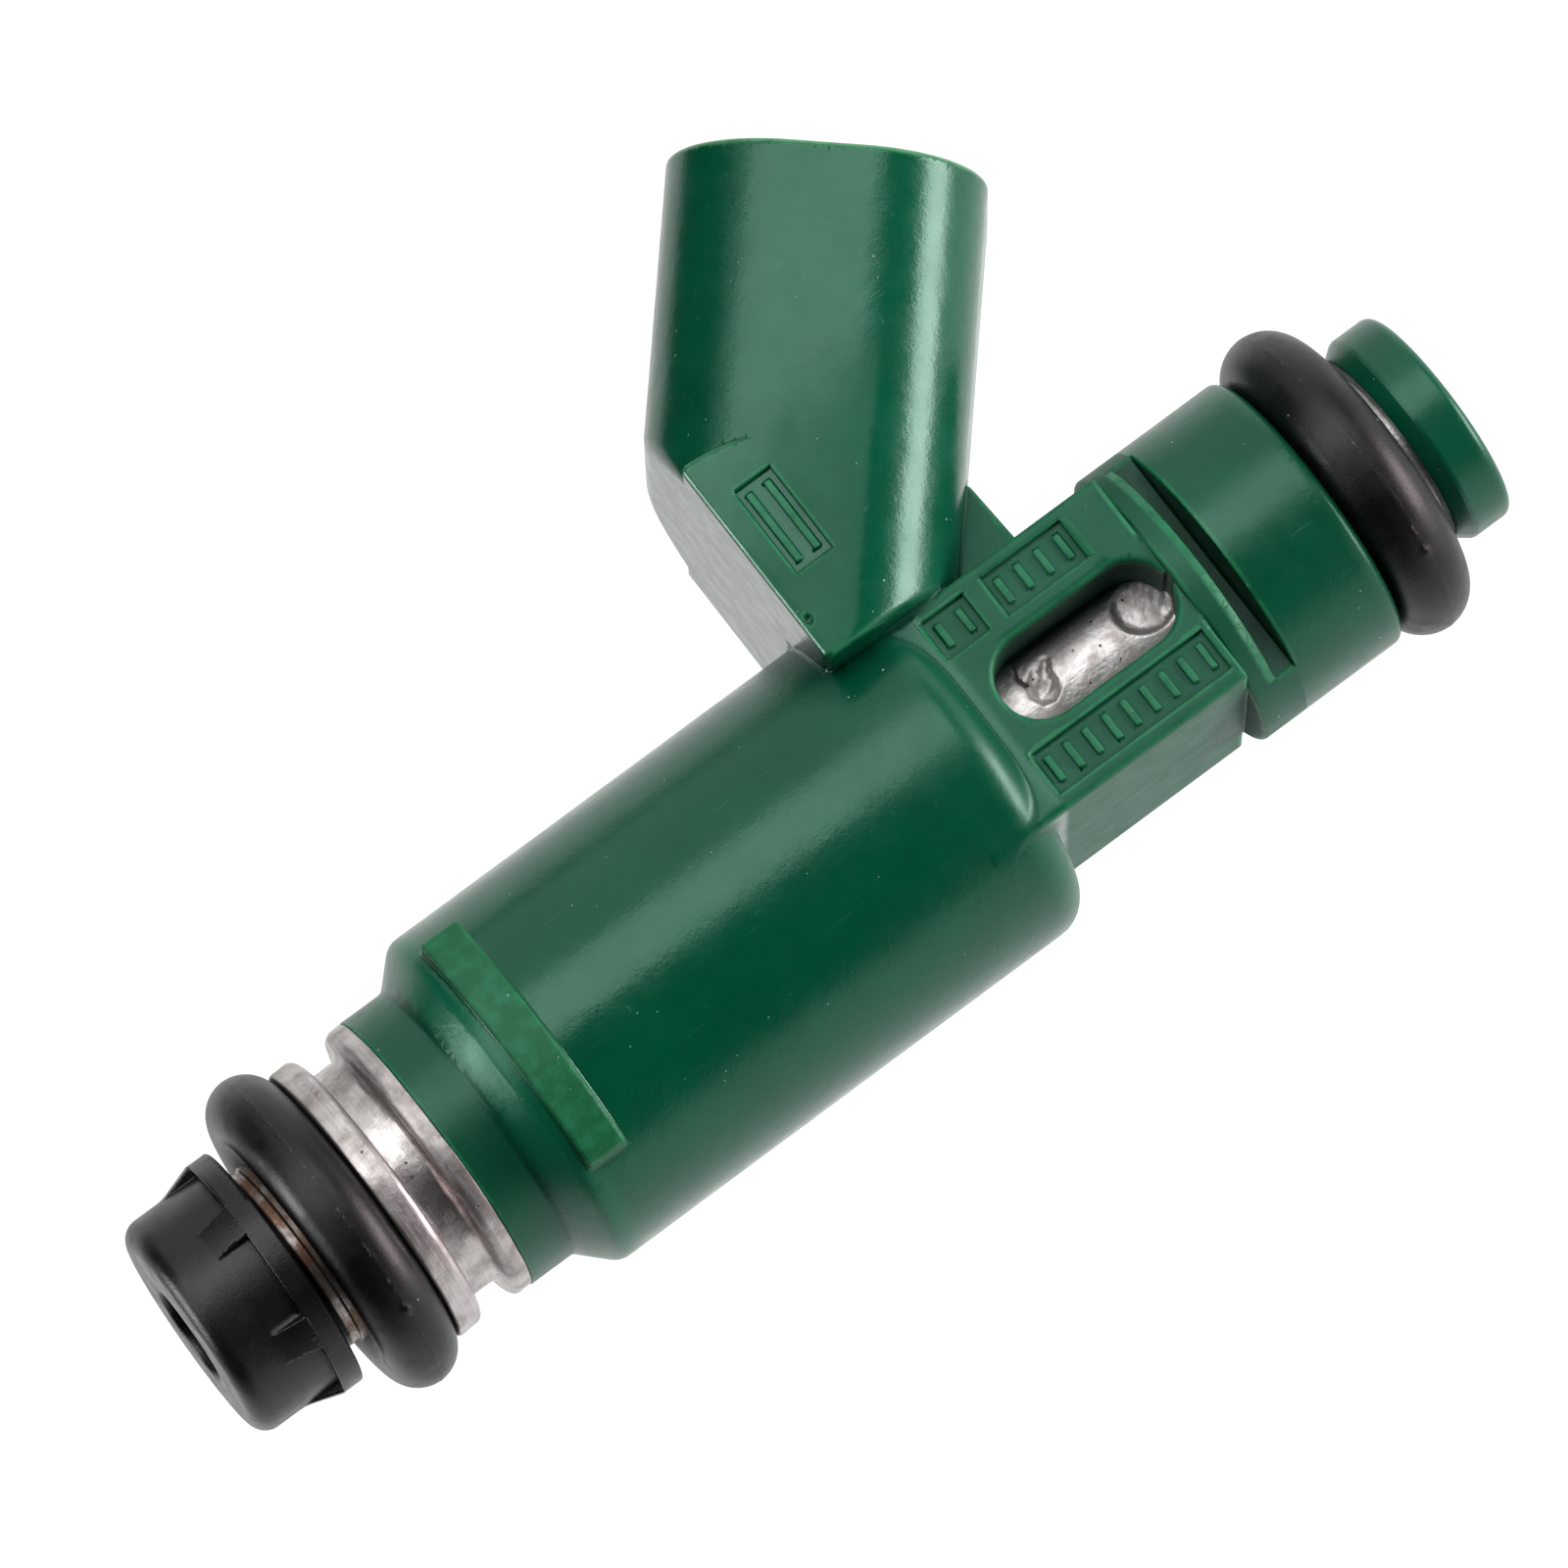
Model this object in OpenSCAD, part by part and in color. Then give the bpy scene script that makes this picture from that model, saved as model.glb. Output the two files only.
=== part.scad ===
// Top-feed fuel injector with a slanted side connector.
// The origin is the centre of the nozzle tip, +Z runs along the axis to the fuel inlet, the
// connector leans towards -X and the label block faces -Y. Every size is in millimetres.

/* [Nozzle cap] */
// Length of the cap along the axis
cap_len = 4.9; // [4.8:0.05:5.0]
// Outer diameter of the cap
cap_d = 10.05; // [9.8:0.05:10.2]
// Diameter of the rim at the cap's open end
cap_rim_d = 11.05; // [10.8:0.05:11.3]
// Height of that rim
cap_rim_h = 1.0; // [0.8:0.1:1.2]
// Diameter of the spray hole
cap_hole_d = 4.2; // [3.8:0.1:4.6]
// Thickness of the cap's end wall
cap_wall = 1.2; // [1.1:0.05:1.3]
// Rounding of the cap's outer edge
cap_round = 0.85; // [0.6:0.05:1.2]
// Height at which the snap ramps start
ramp_start = 2.2; // [2:0.1:2.6]
// Width of one snap ramp round the axis, in degrees
ramp_arc = 17; // [12:1:24]
// Angle from the X axis to the middle of the first ramp
ramp_turn = 12; // [0:1:30]
// Depth to which a ramp is rooted in the cap's wall
ramp_root = 0.4; // [0.3:0.1:0.5]

/* [O-rings] */
// Section of the manifold O-ring
lower_cord = 3.2; // [3:0.05:3.4]
// Diameter of the seat under the manifold O-ring
lower_seat_d = 8.55; // [8.4:0.05:8.6]
// Section of the fuel-rail O-ring
upper_cord = 3.6; // [3.4:0.05:3.7]
// Height of the fuel-rail O-ring's centre
upper_ring_z = 58.5; // [58.45:0.05:58.6]

/* [Valve body] */
// Diameter of the bare tip tube
tip_d = 8.3; // [8.2:0.05:8.4]
// Diameter of both flanges
flange_d = 13.0; // [12.8:0.1:13.2]
// Height of the first flange's lower face
flange_1_z = 8.84; // [8.8:0.01:8.9]
// Height of the groove's lower face
groove_z = 10.08; // [10:0.02:10.2]
// Height of the second flange's lower face
flange_2_z = 11.55; // [11.4:0.01:11.6]
// Height of the green neck's lower face
neck_z = 12.44; // [12.4:0.02:12.5]
// Diameter at the bottom of the groove
groove_d = 10.95; // [10.6:0.05:11.2]
// Rounding of the flanges' edges at the groove, and of the groove's corners
groove_round = 0.4; // [0.3:0.05:0.5]
// Chamfer of the first flange's lower edge
flange_edge = 0.15; // [0.1:0.05:0.2]

/* [Coil barrel] */
// Diameter of the green barrel
barrel_d = 15.8; // [15.6:0.1:16]
// Height at which the barrel's cone starts
cone_z = 14.54; // [14.4:0.02:14.6]
// Height of the barrel's inlet end
barrel_top = 39.85; // [39.7:0.05:40]
// Rounding of that end
barrel_round = 1.7; // [1.5:0.1:2]
// Rounding between the cone and the barrel
shoulder_round = 0.25; // [0.2:0.05:0.6]
// Half width of the raised front bar
bar_half = 5.65; // [5.4:0.05:5.8]
// Distance from the axis to the middle of that bar's face
bar_front = 8.1; // [8.05:0.05:8.2]
// Radius of the bar's bent face
bar_bend = 11.5; // [10:0.5:13]
// Height of the bar's lower edge
bar_z = 16.35; // [16.2:0.05:16.5]
// Width of the bar along the axis
bar_w = 1.8; // [1.7:0.05:1.9]

/* [Label block and collar] */
// Half width of the label block
block_half_x = 5.13; // [5:0.01:5.2]
// Half depth of the label block
block_half_y = 6.1; // [6:0.05:6.2]
// Width of the obround window
window_w = 3.7; // [3.6:0.05:4]
// Height of the window's lower end
window_bottom = 41.07; // [41:0.01:41.2]
// Height of the window's upper end
window_top = 49.35; // [49.3:0.01:49.4]
// Diameter of the collar
collar_d = 12.9; // [12.6:0.1:13]
// Height of the collar's lower face
collar_z = 49.5; // [49.4:0.02:49.6]
// Height of the collar's upper face
collar_top = 56.66; // [56.5:0.02:56.7]
// Height of the clip slot's lower face
slot_z = 50.72; // [50.6:0.02:50.8]
// Width of the clip slot along the axis
slot_w = 0.96; // [0.8:0.02:1.1]
// Distance from the axis to the slot's floor
slot_floor = 3.45; // [3.4:0.05:3.6]
// Chamfer of the collar's lower edge
collar_edge = 0.25; // [0.2:0.05:0.4]
// Rounding of the collar's upper edge
collar_round = 0.45; // [0.3:0.05:0.5]

/* [Connector] */
// Lean of the connector away from the injector's axis, in degrees
lean = 48.5; // [48:0.5:49]
// Distance of the rim's centre from the injector's axis
rim_x = 22.3; // [22:0.1:22.8]
// Height of the rim's centre
rim_z = 49.1; // [49:0.1:49.4]
// Outer size of the shell in the plane of the lean
shell_w = 13.1; // [13:0.1:13.4]
// Outer size of the shell across that plane
shell_h = 16.8; // [16.6:0.1:17]
// Radius of the shell's corners
shell_r = 5.0; // [4.6:0.1:5.2]
// Wall of the socket
shell_wall = 1.3; // [1.2:0.1:1.5]
// Depth of the socket
socket_depth = 13.0; // [12:0.5:13.5]
// Height of the keying rib on the socket's inlet-side wall
key_h = 0.7; // [0.5:0.1:0.8]
// Width of the keying rib
key_w = 1.6; // [1.2:0.1:2]
// Height of the flat end face of the connector's root
root_z = 36.14; // [36:0.02:36.2]

/* [Contacts] */
// Distance between the two contact blades
blade_pitch = 6.2; // [6:0.1:6.4]
// Width of a blade
blade_w = 1.6; // [1.4:0.1:1.7]
// Thickness of a blade
blade_t = 0.8; // [0.6:0.1:0.9]
// Distance from the blade's tip to the rim
blade_recess = 4.8; // [4.6:0.1:5.2]

/* [Core and inlet] */
// Bore of the fuel tube
core_bore = 3.4; // [3.3:0.05:3.5]
// Diameter of the magnetic core, inside the coil
core_d = 7.1; // [7.1:0.05:7.1]
// Diameter of the tube behind the window
tube_d = 6.0; // [5.8:0.1:6.1]
// Diameter of the tube under the fuel-rail O-ring
inlet_d = 7.3; // [7.2:0.05:7.4]
// Bore of the inlet, which holds the filter
inlet_bore = 5.0; // [4.8:0.1:5.2]
// Diameter of the retaining disc
disc_d = 9.83; // [9.6:0.01:9.9]
// Height of the disc's lower face
disc_z = 60.8; // [60.7:0.05:60.9]
// Height of the disc's upper face, the injector's whole length
disc_top = 63.35; // [63.2:0.05:63.4]

/* [Valve] */
// Lift of the needle
lift = 0.08; // [0.06:0.01:0.09]
// Gap left above the collar when the valve is fully open
lift_margin = 0.02; // [0.01:0.01:0.03]
// Bore of the needle's guide
guide_bore = 4.0; // [4:0.05:4.1]
// Radial clearance of the guide lands
guide_clear = 0.02; // [0.01:0.01:0.04]
// Outer diameter of the armature
armature_d = 7.0; // [6.94:0.01:7.02]
// Diameter of the return spring
spring_d = 3.0; // [2.8:0.1:3.1]
// Wire of the return spring
spring_wire = 0.5; // [0.4:0.05:0.6]
// Turns of the return spring
spring_turns = 9; // [7:1:10]

/* [Hidden] */
$fn = 96;
eps = 0.01;
far = 40;

// Stack of the valve, from the tip upwards
plate_h = 0.3;
orifice_d = 0.25;
orifice_r = 0.35;
seat_d = 6.4;
seat_z = cap_wall + plate_h;
seat_top = 11.0;
seat_cone_z = 2.2;
seat_hole_r = 0.6;
seat_gap = 0.03;
stop_h = 1.0;
shim_top = seat_top + stop_h;
collar_recess_d = 5.0;
collar_recess_z = 10.0;
needle_r = 1.3;
needle_top = 18.2;
needle_tip_cut = 0.2;
needle_collar_h = 0.6;
needle_collar_d = 4.5;
land_heights = [4.4, 8.0];
land_h = 1.2;
land_flats = 3.5;
shim_clear = 0.2;
armature_z = 14.6;
armature_gap = lift + lift_margin;
core_z = 22.0;
armature_top = core_z - armature_gap;
armature_groove_r = 0.5;
chamber_d = 7.1;
chamber_z = 14.0;
passage_d = 5.0;
guide_tube_d = 9.4;
guide_tube_top = 20.5;
spigot_d = 11.4;
spigot_top = 15.2;
seat_step = 0.1;

// Coil and its iron circuit
ring_top = 22.6;
yoke_d = 13.4;
yoke_bore = 12.4;
yoke_floor = 1.0;
yoke_z = guide_tube_top - yoke_floor;
bobbin_top = 35.0;
bobbin_flange = 0.8;
bobbin_hub_d = 8.4;
bobbin_d = 12.2;
winding_d = 11.4;
washer_top = 36.0;
blade_clear = 0.2;
seal_cord = 1.2;
seal_pocket_top = washer_top + seal_cord + 0.1;

// Fuel tube
core_top = 38.0;
tube_top = 53.0;
flare_z = 53.3;
pocket_z = 54.5;
inlet_top = 62.9;
head_z = 62.2;
head_d = 8.2;
adjuster_bore = 1.8;
adjuster_z = 31.0;
adjuster_top = 47.8;
dimple_r = 2.0;
dimple_x = -0.5;
dimples = [[48.5, 1.4], [43.3, 1.1]];

// Inlet filter
filter_d = 3.5;
filter_wall = 0.15;
filter_foot_d = 4.1;
filter_foot_z = 55.0;
filter_foot_h = 0.6;
filter_head_z = 60.0;
filter_head_top = 61.5;
filter_rib = 0.5;
filter_rib_in = 0.2;

// Connector: length from the rim to the crossing of the two axes, and the blade's route
axis_len = rim_x / sin(lean);
blade_foot_x = 4.6;
blade_foot_top = 36.8;
blade_bend_len = 12.0;
root_square_r = 9.0;
root_square_x = 6.0;
web_half = 3.0;
web_x = 8.6;
web_top = 46.05;
web_end_top = 45.85;
block_corner = 0.3;
panel_depth = 0.25;
root_panel = [8.7, 12.9, 37.3, 39.1];
front_panels = [[2.64, 4.51, 40.3, 42.4], [2.64, 4.57, 43.35, 47.35], [-4.45, -2.47, 40.55, 49.15]];
key_recess = 1.0;
disc_edge = 0.5;
disc_edge_h = 0.6;
disc_round = 0.42;
round_fn = 32;

// A disc between two heights
module disc(z0, z1, d) {
    translate([0, 0, z0]) cylinder(d = d, h = z1 - z0);
}

// A tube between two heights
module ring(z0, z1, d, bore) {
    difference() {
        disc(z0, z1, d);
        disc(z0 - eps, z1 + eps, bore);
    }
}

// A cone between two heights
module cone(z0, z1, d0, d1) {
    translate([0, 0, z0]) cylinder(d1 = d0, d2 = d1, h = z1 - z0);
}

// An O-ring whose inside touches a seat of diameter seat
module o_ring(z, cord, seat) {
    translate([0, 0, z])
        rotate_extrude()
            translate([(seat + cord) / 2, 0]) circle(d = cord, $fn = 48);
}

// A rectangle with round corners, centred
module round_rect(w, h, r) {
    square([w - 2 * r, h], center = true);
    square([w, h - 2 * r], center = true);
    for (sx = [-1, 1], sy = [-1, 1])
        translate([sx * (w / 2 - r), sy * (h / 2 - r)]) circle(r = r);
}

// Children drawn in the connector's own frame: its rim lies at z = 0, its mouth faces +z and
// +x points to the inlet side
module in_connector() {
    translate([-rim_x, 0, rim_z]) rotate([0, -lean, 0]) children();
}

// Points of a fillet of radius r about (cx, cy), between two angles
function arc(cx, cy, r, a0, a1, steps = 8) =
    [for (i = [0:steps]) let (a = a0 + (a1 - a0) * i / steps) [cx + r * cos(a), cy + r * sin(a)]];

// Black snap-on cap with a rim and six ramps
module nozzle_cap() {
    color([0.07, 0.07, 0.07])
        difference() {
            union() {
                rotate_extrude()
                    polygon(concat(
                        [[0, 0]],
                        arc(cap_d / 2 - cap_round, cap_round, cap_round, -90, 0),
                        [[cap_d / 2, cap_len - cap_rim_h], [cap_rim_d / 2, cap_len - cap_rim_h],
                         [cap_rim_d / 2, cap_len], [0, cap_len]]));
                for (side = [0:60:300])
                    rotate([0, 0, side + ramp_turn - ramp_arc / 2])
                        rotate_extrude(angle = ramp_arc)
                            polygon([[cap_d / 2 - ramp_root, ramp_start], [cap_d / 2, ramp_start],
                                     [cap_rim_d / 2, cap_len - cap_rim_h + eps],
                                     [cap_d / 2 - ramp_root, cap_len - cap_rim_h + eps]]);
            }
            disc(-1, cap_len, cap_hole_d);
            disc(cap_wall, cap_len + 1, tip_d);
        }
}

// Thin plate with four metering holes
module orifice_plate() {
    color([0.75, 0.74, 0.7])
        difference() {
            disc(cap_wall, seat_z, seat_d);
            for (a = [45:90:315])
                rotate([0, 0, a])
                    translate([orifice_r, 0, 0]) cylinder(d = orifice_d, h = seat_z + 1, $fn = round_fn);
        }
}

// Nozzle body with the needle's guide, the conical seat and the outlet
module valve_seat() {
    color([0.62, 0.62, 0.64])
        difference() {
            disc(seat_z, seat_top, seat_d);
            disc(0, seat_top, 2 * seat_hole_r);
            cone(seat_cone_z, seat_cone_z + guide_bore / 2 - seat_hole_r, 2 * seat_hole_r, guide_bore);
            disc(seat_cone_z + guide_bore / 2 - seat_hole_r, seat_top + 1, guide_bore);
            disc(collar_recess_z, seat_top + 1, collar_recess_d);
        }
}

// Turned body: tip tube, O-ring seat, two flanges, spigot and the armature's guide tube
module valve_body() {
    color([0.72, 0.7, 0.68])
        difference() {
            rotate_extrude()
                polygon(concat(
                    [[0, cap_wall], [tip_d / 2, cap_wall],
                     [tip_d / 2, flange_1_z - lower_cord - seat_step],
                     [lower_seat_d / 2, flange_1_z - lower_cord], [lower_seat_d / 2, flange_1_z],
                     [flange_d / 2 - flange_edge, flange_1_z], [flange_d / 2, flange_1_z + flange_edge]],
                    arc(flange_d / 2 - groove_round, groove_z - groove_round, groove_round, 0, 90),
                    [[groove_d / 2, groove_z]],
                    arc(groove_d / 2 + groove_round, flange_2_z - groove_round, groove_round, 180, 90),
                    arc(flange_d / 2 - groove_round, flange_2_z + groove_round, groove_round, -90, 0),
                    [[flange_d / 2, neck_z], [spigot_d / 2, neck_z], [spigot_d / 2, spigot_top],
                     [guide_tube_d / 2, spigot_top], [guide_tube_d / 2, guide_tube_top],
                     [0, guide_tube_top]]));
            disc(0, shim_top, seat_d);
            disc(0, far, passage_d);
            disc(chamber_z, far, chamber_d);
        }
}

// Needle with a conical tip, two guide lands cut by four flats and a stop collar
module needle() {
    collar_top_z = seat_top - lift - lift_margin;
    tip_z = seat_cone_z + seat_gap - needle_tip_cut;
    tip_r = seat_hole_r - needle_tip_cut;
    color([0.6, 0.61, 0.63]) {
        cone(tip_z, tip_z + needle_r - tip_r, 2 * tip_r, 2 * needle_r);
        disc(tip_z + needle_r - tip_r, needle_top, 2 * needle_r);
        disc(collar_top_z - needle_collar_h, collar_top_z, needle_collar_d);
        for (z = land_heights)
            intersection() {
                disc(z, z + land_h, guide_bore - 2 * guide_clear);
                translate([0, 0, z]) cube([land_flats, land_flats, 4 * land_h], center = true);
            }
    }
}

// Magnetic plunger with four fuel grooves and the spring's pocket
module armature() {
    color([0.45, 0.46, 0.48])
        difference() {
            disc(armature_z, armature_top, armature_d);
            disc(armature_z - 1, needle_top, 2 * needle_r);
            disc(needle_top, far, core_bore);
            for (a = [45:90:315])
                rotate([0, 0, a])
                    translate([armature_d / 2, 0, armature_z - 1])
                        cylinder(r = armature_groove_r, h = far, $fn = round_fn);
        }
}

// Slotted shim above the valve seat
module lift_stop() {
    color([0.55, 0.55, 0.57])
        difference() {
            disc(seat_top, shim_top, seat_d);
            disc(0, far, 2 * (needle_r + shim_clear));
            translate([0, -needle_r - shim_clear, 0]) cube([far, 2 * (needle_r + shim_clear), far]);
        }
}

// Coil spring, swept round its helix, with flat-lying first and last turns left open
module return_spring() {
    sides = 8;
    steps = 20;
    coil_r = (spring_d - spring_wire) / 2;
    spring_h = adjuster_z - needle_top - spring_wire;
    count = spring_turns * steps;
    points = [for (i = [0:count], k = [0:sides - 1])
        let (turn = 360 * i / steps, z = needle_top + spring_wire / 2 + spring_h * i / count,
             a = 360 * k / sides, r = coil_r + spring_wire / 2 * cos(a))
        [r * cos(turn), r * sin(turn), z + spring_wire / 2 * sin(a)]];
    skin = [for (i = [0:count - 1], k = [0:sides - 1])
        [i * sides + k, i * sides + (k + 1) % sides,
         (i + 1) * sides + (k + 1) % sides, (i + 1) * sides + k]];
    ends = [[for (k = [sides - 1:-1:0]) k], [for (k = [0:sides - 1]) count * sides + k]];
    color([0.78, 0.78, 0.8]) polyhedron(points = points, faces = concat(skin, ends), convexity = 10);
}

// Tube staked in the core above the spring
module adjusting_tube() {
    color([0.7, 0.66, 0.5]) ring(adjuster_z, adjuster_top, core_bore, adjuster_bore);
}

// Ring that joins the valve body to the core without closing the magnetic circuit
module nonmagnetic_ring() {
    color([0.8, 0.75, 0.55]) ring(guide_tube_top, ring_top, guide_tube_d, core_d);
}

// Magnetic core and fuel tube in one, with stake marks, filter pocket and a headed inlet end
module core_tube() {
    color([0.78, 0.78, 0.77])
        difference() {
            union() {
                disc(core_z, core_top, core_d);
                disc(core_top, tube_top, tube_d);
                disc(tube_top, inlet_top, inlet_d);
                disc(head_z, inlet_top, head_d);
            }
            disc(core_z - 1, flare_z, core_bore);
            cone(flare_z - eps, pocket_z, core_bore, inlet_bore);
            disc(pocket_z, far * 2, inlet_bore);
            for (mark = dimples)
                translate([dimple_x, -tube_d / 2 - sqrt(pow(dimple_r, 2) - pow(mark[1], 2)), mark[0]])
                    sphere(r = dimple_r, $fn = 48);
        }
}

// Steel can round the coil
module coil_yoke() {
    color([0.5, 0.51, 0.53])
        difference() {
            disc(yoke_z, washer_top, yoke_d);
            disc(yoke_z + yoke_floor, far, yoke_bore);
            disc(0, far, guide_tube_d);
        }
}

// Magnetic washer that closes the can, with two passages for the blades
module yoke_washer() {
    color([0.5, 0.51, 0.53])
        difference() {
            ring(bobbin_top, washer_top, yoke_bore, core_d);
            for (side = [-1, 1])
                translate([-blade_foot_x, side * blade_pitch / 2, washer_top])
                    cube([blade_t + 2 * blade_clear, blade_w + 2 * blade_clear, 4], center = true);
        }
}

// Coil former
module bobbin() {
    color([0.2, 0.18, 0.16]) {
        ring(ring_top, bobbin_top, bobbin_hub_d, core_d);
        ring(ring_top, ring_top + bobbin_flange, bobbin_d, core_d);
        ring(bobbin_top - bobbin_flange, bobbin_top, bobbin_d, core_d);
    }
}

// Copper winding as one closed ring
module coil_winding() {
    color([0.72, 0.4, 0.2])
        ring(ring_top + bobbin_flange, bobbin_top - bobbin_flange, winding_d, bobbin_hub_d);
}

module lower_coil_seal() {
    color([0.08, 0.08, 0.08]) o_ring(guide_tube_top + seal_cord / 2, seal_cord, guide_tube_d);
}

module upper_coil_seal() {
    color([0.08, 0.08, 0.08]) o_ring(washer_top + seal_cord / 2, seal_cord, core_d);
}

// A flat bar in the plane of the lean, from (x0, z0) to (x1, z1), with round ends
module bar(x0, z0, x1, z1) {
    run = norm([x1 - x0, z1 - z0]);
    translate([x0, 0, z0])
        rotate([0, atan2(x1 - x0, z1 - z0), 0]) {
            translate([-blade_t / 2, -blade_w / 2, 0]) cube([blade_t, blade_w, run]);
            rotate([90, 0, 0]) cylinder(d = blade_t, h = blade_w, center = true, $fn = round_fn);
            translate([0, 0, run])
                rotate([90, 0, 0]) cylinder(d = blade_t, h = blade_w, center = true, $fn = round_fn);
        }
}

// Contact blade on one side: up from the bobbin, across, then along the connector's axis
module terminal(side) {
    bend_x = -blade_bend_len * sin(lean);
    bend_z = rim_z - (axis_len - blade_bend_len) * cos(lean);
    tip = axis_len - blade_recess - blade_t / 2;
    translate([0, side * blade_pitch / 2, 0]) {
        translate([-blade_foot_x - blade_t / 2, -blade_w / 2, bobbin_top])
            cube([blade_t, blade_w, blade_foot_top - bobbin_top]);
        bar(-blade_foot_x, blade_foot_top, bend_x, bend_z);
        bar(bend_x, bend_z, -tip * sin(lean), rim_z - (axis_len - tip) * cos(lean));
    }
}

module terminal_left() {
    color([0.8, 0.7, 0.4]) terminal(-1);
}

module terminal_right() {
    color([0.8, 0.7, 0.4]) terminal(1);
}

// Outside of the neck, the cone and the barrel
module barrel() {
    cone_top = cone_z + (barrel_d - flange_d) / 2;
    rotate_extrude()
        polygon(concat(
            [[0, neck_z], [flange_d / 2, neck_z], [flange_d / 2, cone_z]],
            arc(barrel_d / 2 - shoulder_round, cone_top + shoulder_round * tan(22.5),
                shoulder_round, -45, 0, 4),
            arc(barrel_d / 2 - barrel_round, barrel_top - barrel_round, barrel_round, 0, 90),
            [[0, barrel_top]]));
}

// Raised bar on one face of the barrel, bent less than the barrel
module front_bar() {
    intersection() {
        translate([-bar_half, -bar_front, bar_z]) cube([2 * bar_half, bar_front, bar_w]);
        translate([0, bar_bend - bar_front, bar_z]) cylinder(r = bar_bend, h = bar_w);
    }
}

// Label block with its window and three recessed panels
module label_block() {
    difference() {
        translate([0, 0, barrel_top - barrel_round])
            linear_extrude(collar_z - barrel_top + barrel_round)
                round_rect(2 * block_half_x, 2 * block_half_y, block_corner);
        window();
        for (area = front_panels)
            panel(area, block_half_y);
    }
}

// Obround cut from the front face to the fuel tube
module window() {
    r = window_w / 2;
    for (z = [window_bottom + r, window_top - r])
        translate([0, -block_half_y - 1, z]) rotate([-90, 0, 0]) cylinder(r = r, h = block_half_y + 1);
    translate([-r, -block_half_y - 1, window_bottom + r])
        cube([window_w, block_half_y + 1, window_top - window_bottom - window_w]);
}

// Shallow recess in a face that looks along -Y at the distance face from the axis; area holds its
// two edges towards the connector and its two heights
module panel(area, face) {
    translate([-area[1], -face - 1, area[2]])
        cube([area[1] - area[0], 1 + panel_depth, area[3] - area[2]]);
}

// Collar with the clip slots
module collar() {
    difference() {
        rotate_extrude()
            polygon(concat(
                [[0, collar_z], [collar_d / 2 - collar_edge, collar_z],
                 [collar_d / 2, collar_z + collar_edge]],
                arc(collar_d / 2 - collar_round, collar_top - collar_round, collar_round, 0, 90, 4),
                [[0, collar_top]]));
        for (side = [-1, 1])
            translate([0, side * (slot_floor + far / 2), slot_z + slot_w / 2])
                cube([far, far, slot_w], center = true);
    }
}

// Outside of the slanted connector: round-cornered shell, square-edged root and gusset web
module connector() {
    difference() {
        union() {
            in_connector()
                translate([0, 0, -axis_len]) linear_extrude(axis_len) round_rect(shell_w, shell_h, shell_r);
            intersection() {
                in_connector()
                    translate([-shell_w / 2, -shell_h / 2, -axis_len])
                        cube([shell_w - shell_r, shell_h, axis_len]);
                translate([-root_square_x, 0, root_z])
                    rotate([90, 0, 0]) cylinder(r = root_square_r, h = shell_h + 2, center = true);
            }
        }
        translate([-far, -far / 2, 0]) cube([far * 2, far, root_z]);
        translate([-block_half_x, -far / 2, 0]) cube([far, far, far * 2]);
        panel(root_panel, shell_h / 2);
    }
    rotate([90, 0, 0])
        linear_extrude(2 * web_half, center = true)
            polygon([[0, barrel_top - 1], [0, web_top], [-block_half_x, web_top],
                     [-web_x, web_end_top], [-web_x, barrel_top - 1]]);
}

// Socket of the connector, round-cornered like its shell, with a keying rib on one wall
module socket() {
    wall_x = shell_w / 2 - shell_wall;
    in_connector()
        difference() {
            translate([0, 0, -socket_depth])
                linear_extrude(socket_depth + 1)
                    round_rect(2 * wall_x, shell_h - 2 * shell_wall, shell_r - shell_wall);
            translate([wall_x - key_h, -key_w / 2, -socket_depth - 1])
                cube([key_h + 1, key_w, socket_depth + 1 - key_recess]);
        }
}

// Space that the metal pieces fill inside the moulding
module inner_stack() {
    disc(neck_z - 1, spigot_top, spigot_d);
    disc(neck_z, yoke_z, guide_tube_d);
    disc(yoke_z, washer_top, yoke_d);
    disc(washer_top, seal_pocket_top, core_d + 2 * seal_cord);
    disc(washer_top, core_top, core_d);
    disc(core_top, tube_top, tube_d);
    disc(tube_top, far * 2, inlet_d);
}

// Green moulding over the coil, with the label block, the collar and the connector
module overmould() {
    color([0.05, 0.42, 0.28])
        difference() {
            union() {
                difference() {
                    union() {
                        barrel();
                        connector();
                    }
                    window();
                }
                front_bar();
                label_block();
                collar();
            }
            inner_stack();
            socket();
            terminal(-1);
            terminal(1);
        }
}

// Green disc that keeps the fuel-rail O-ring on the tube
module inlet_retainer() {
    color([0.05, 0.42, 0.28])
        difference() {
            rotate_extrude()
                polygon(concat(
                    [[0, disc_z], [disc_d / 2 - disc_edge, disc_z], [disc_d / 2, disc_z + disc_edge_h]],
                    arc(disc_d / 2 - disc_round, disc_top - disc_round, disc_round, 0, 90, 4),
                    [[0, disc_top]]));
            disc(0, far * 2, inlet_d);
            disc(head_z, far * 2, head_d);
        }
}

// Frame of the inlet filter: a ring, four ribs and a foot
module filter_frame() {
    color([0.85, 0.83, 0.75]) {
        ring(filter_head_z, filter_head_top, inlet_bore, filter_d - 2 * filter_wall);
        disc(filter_foot_z, filter_foot_z + filter_foot_h, filter_foot_d);
        difference() {
            for (a = [0:90:270])
                rotate([0, 0, a])
                    translate([filter_d / 2 - filter_rib_in, -filter_rib / 2, filter_foot_z])
                        cube([(filter_foot_d - filter_d) / 2, filter_rib,
                              filter_head_z - filter_foot_z + filter_rib]);
            disc(filter_foot_z + filter_foot_h, filter_head_z, filter_d);
        }
    }
}

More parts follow.
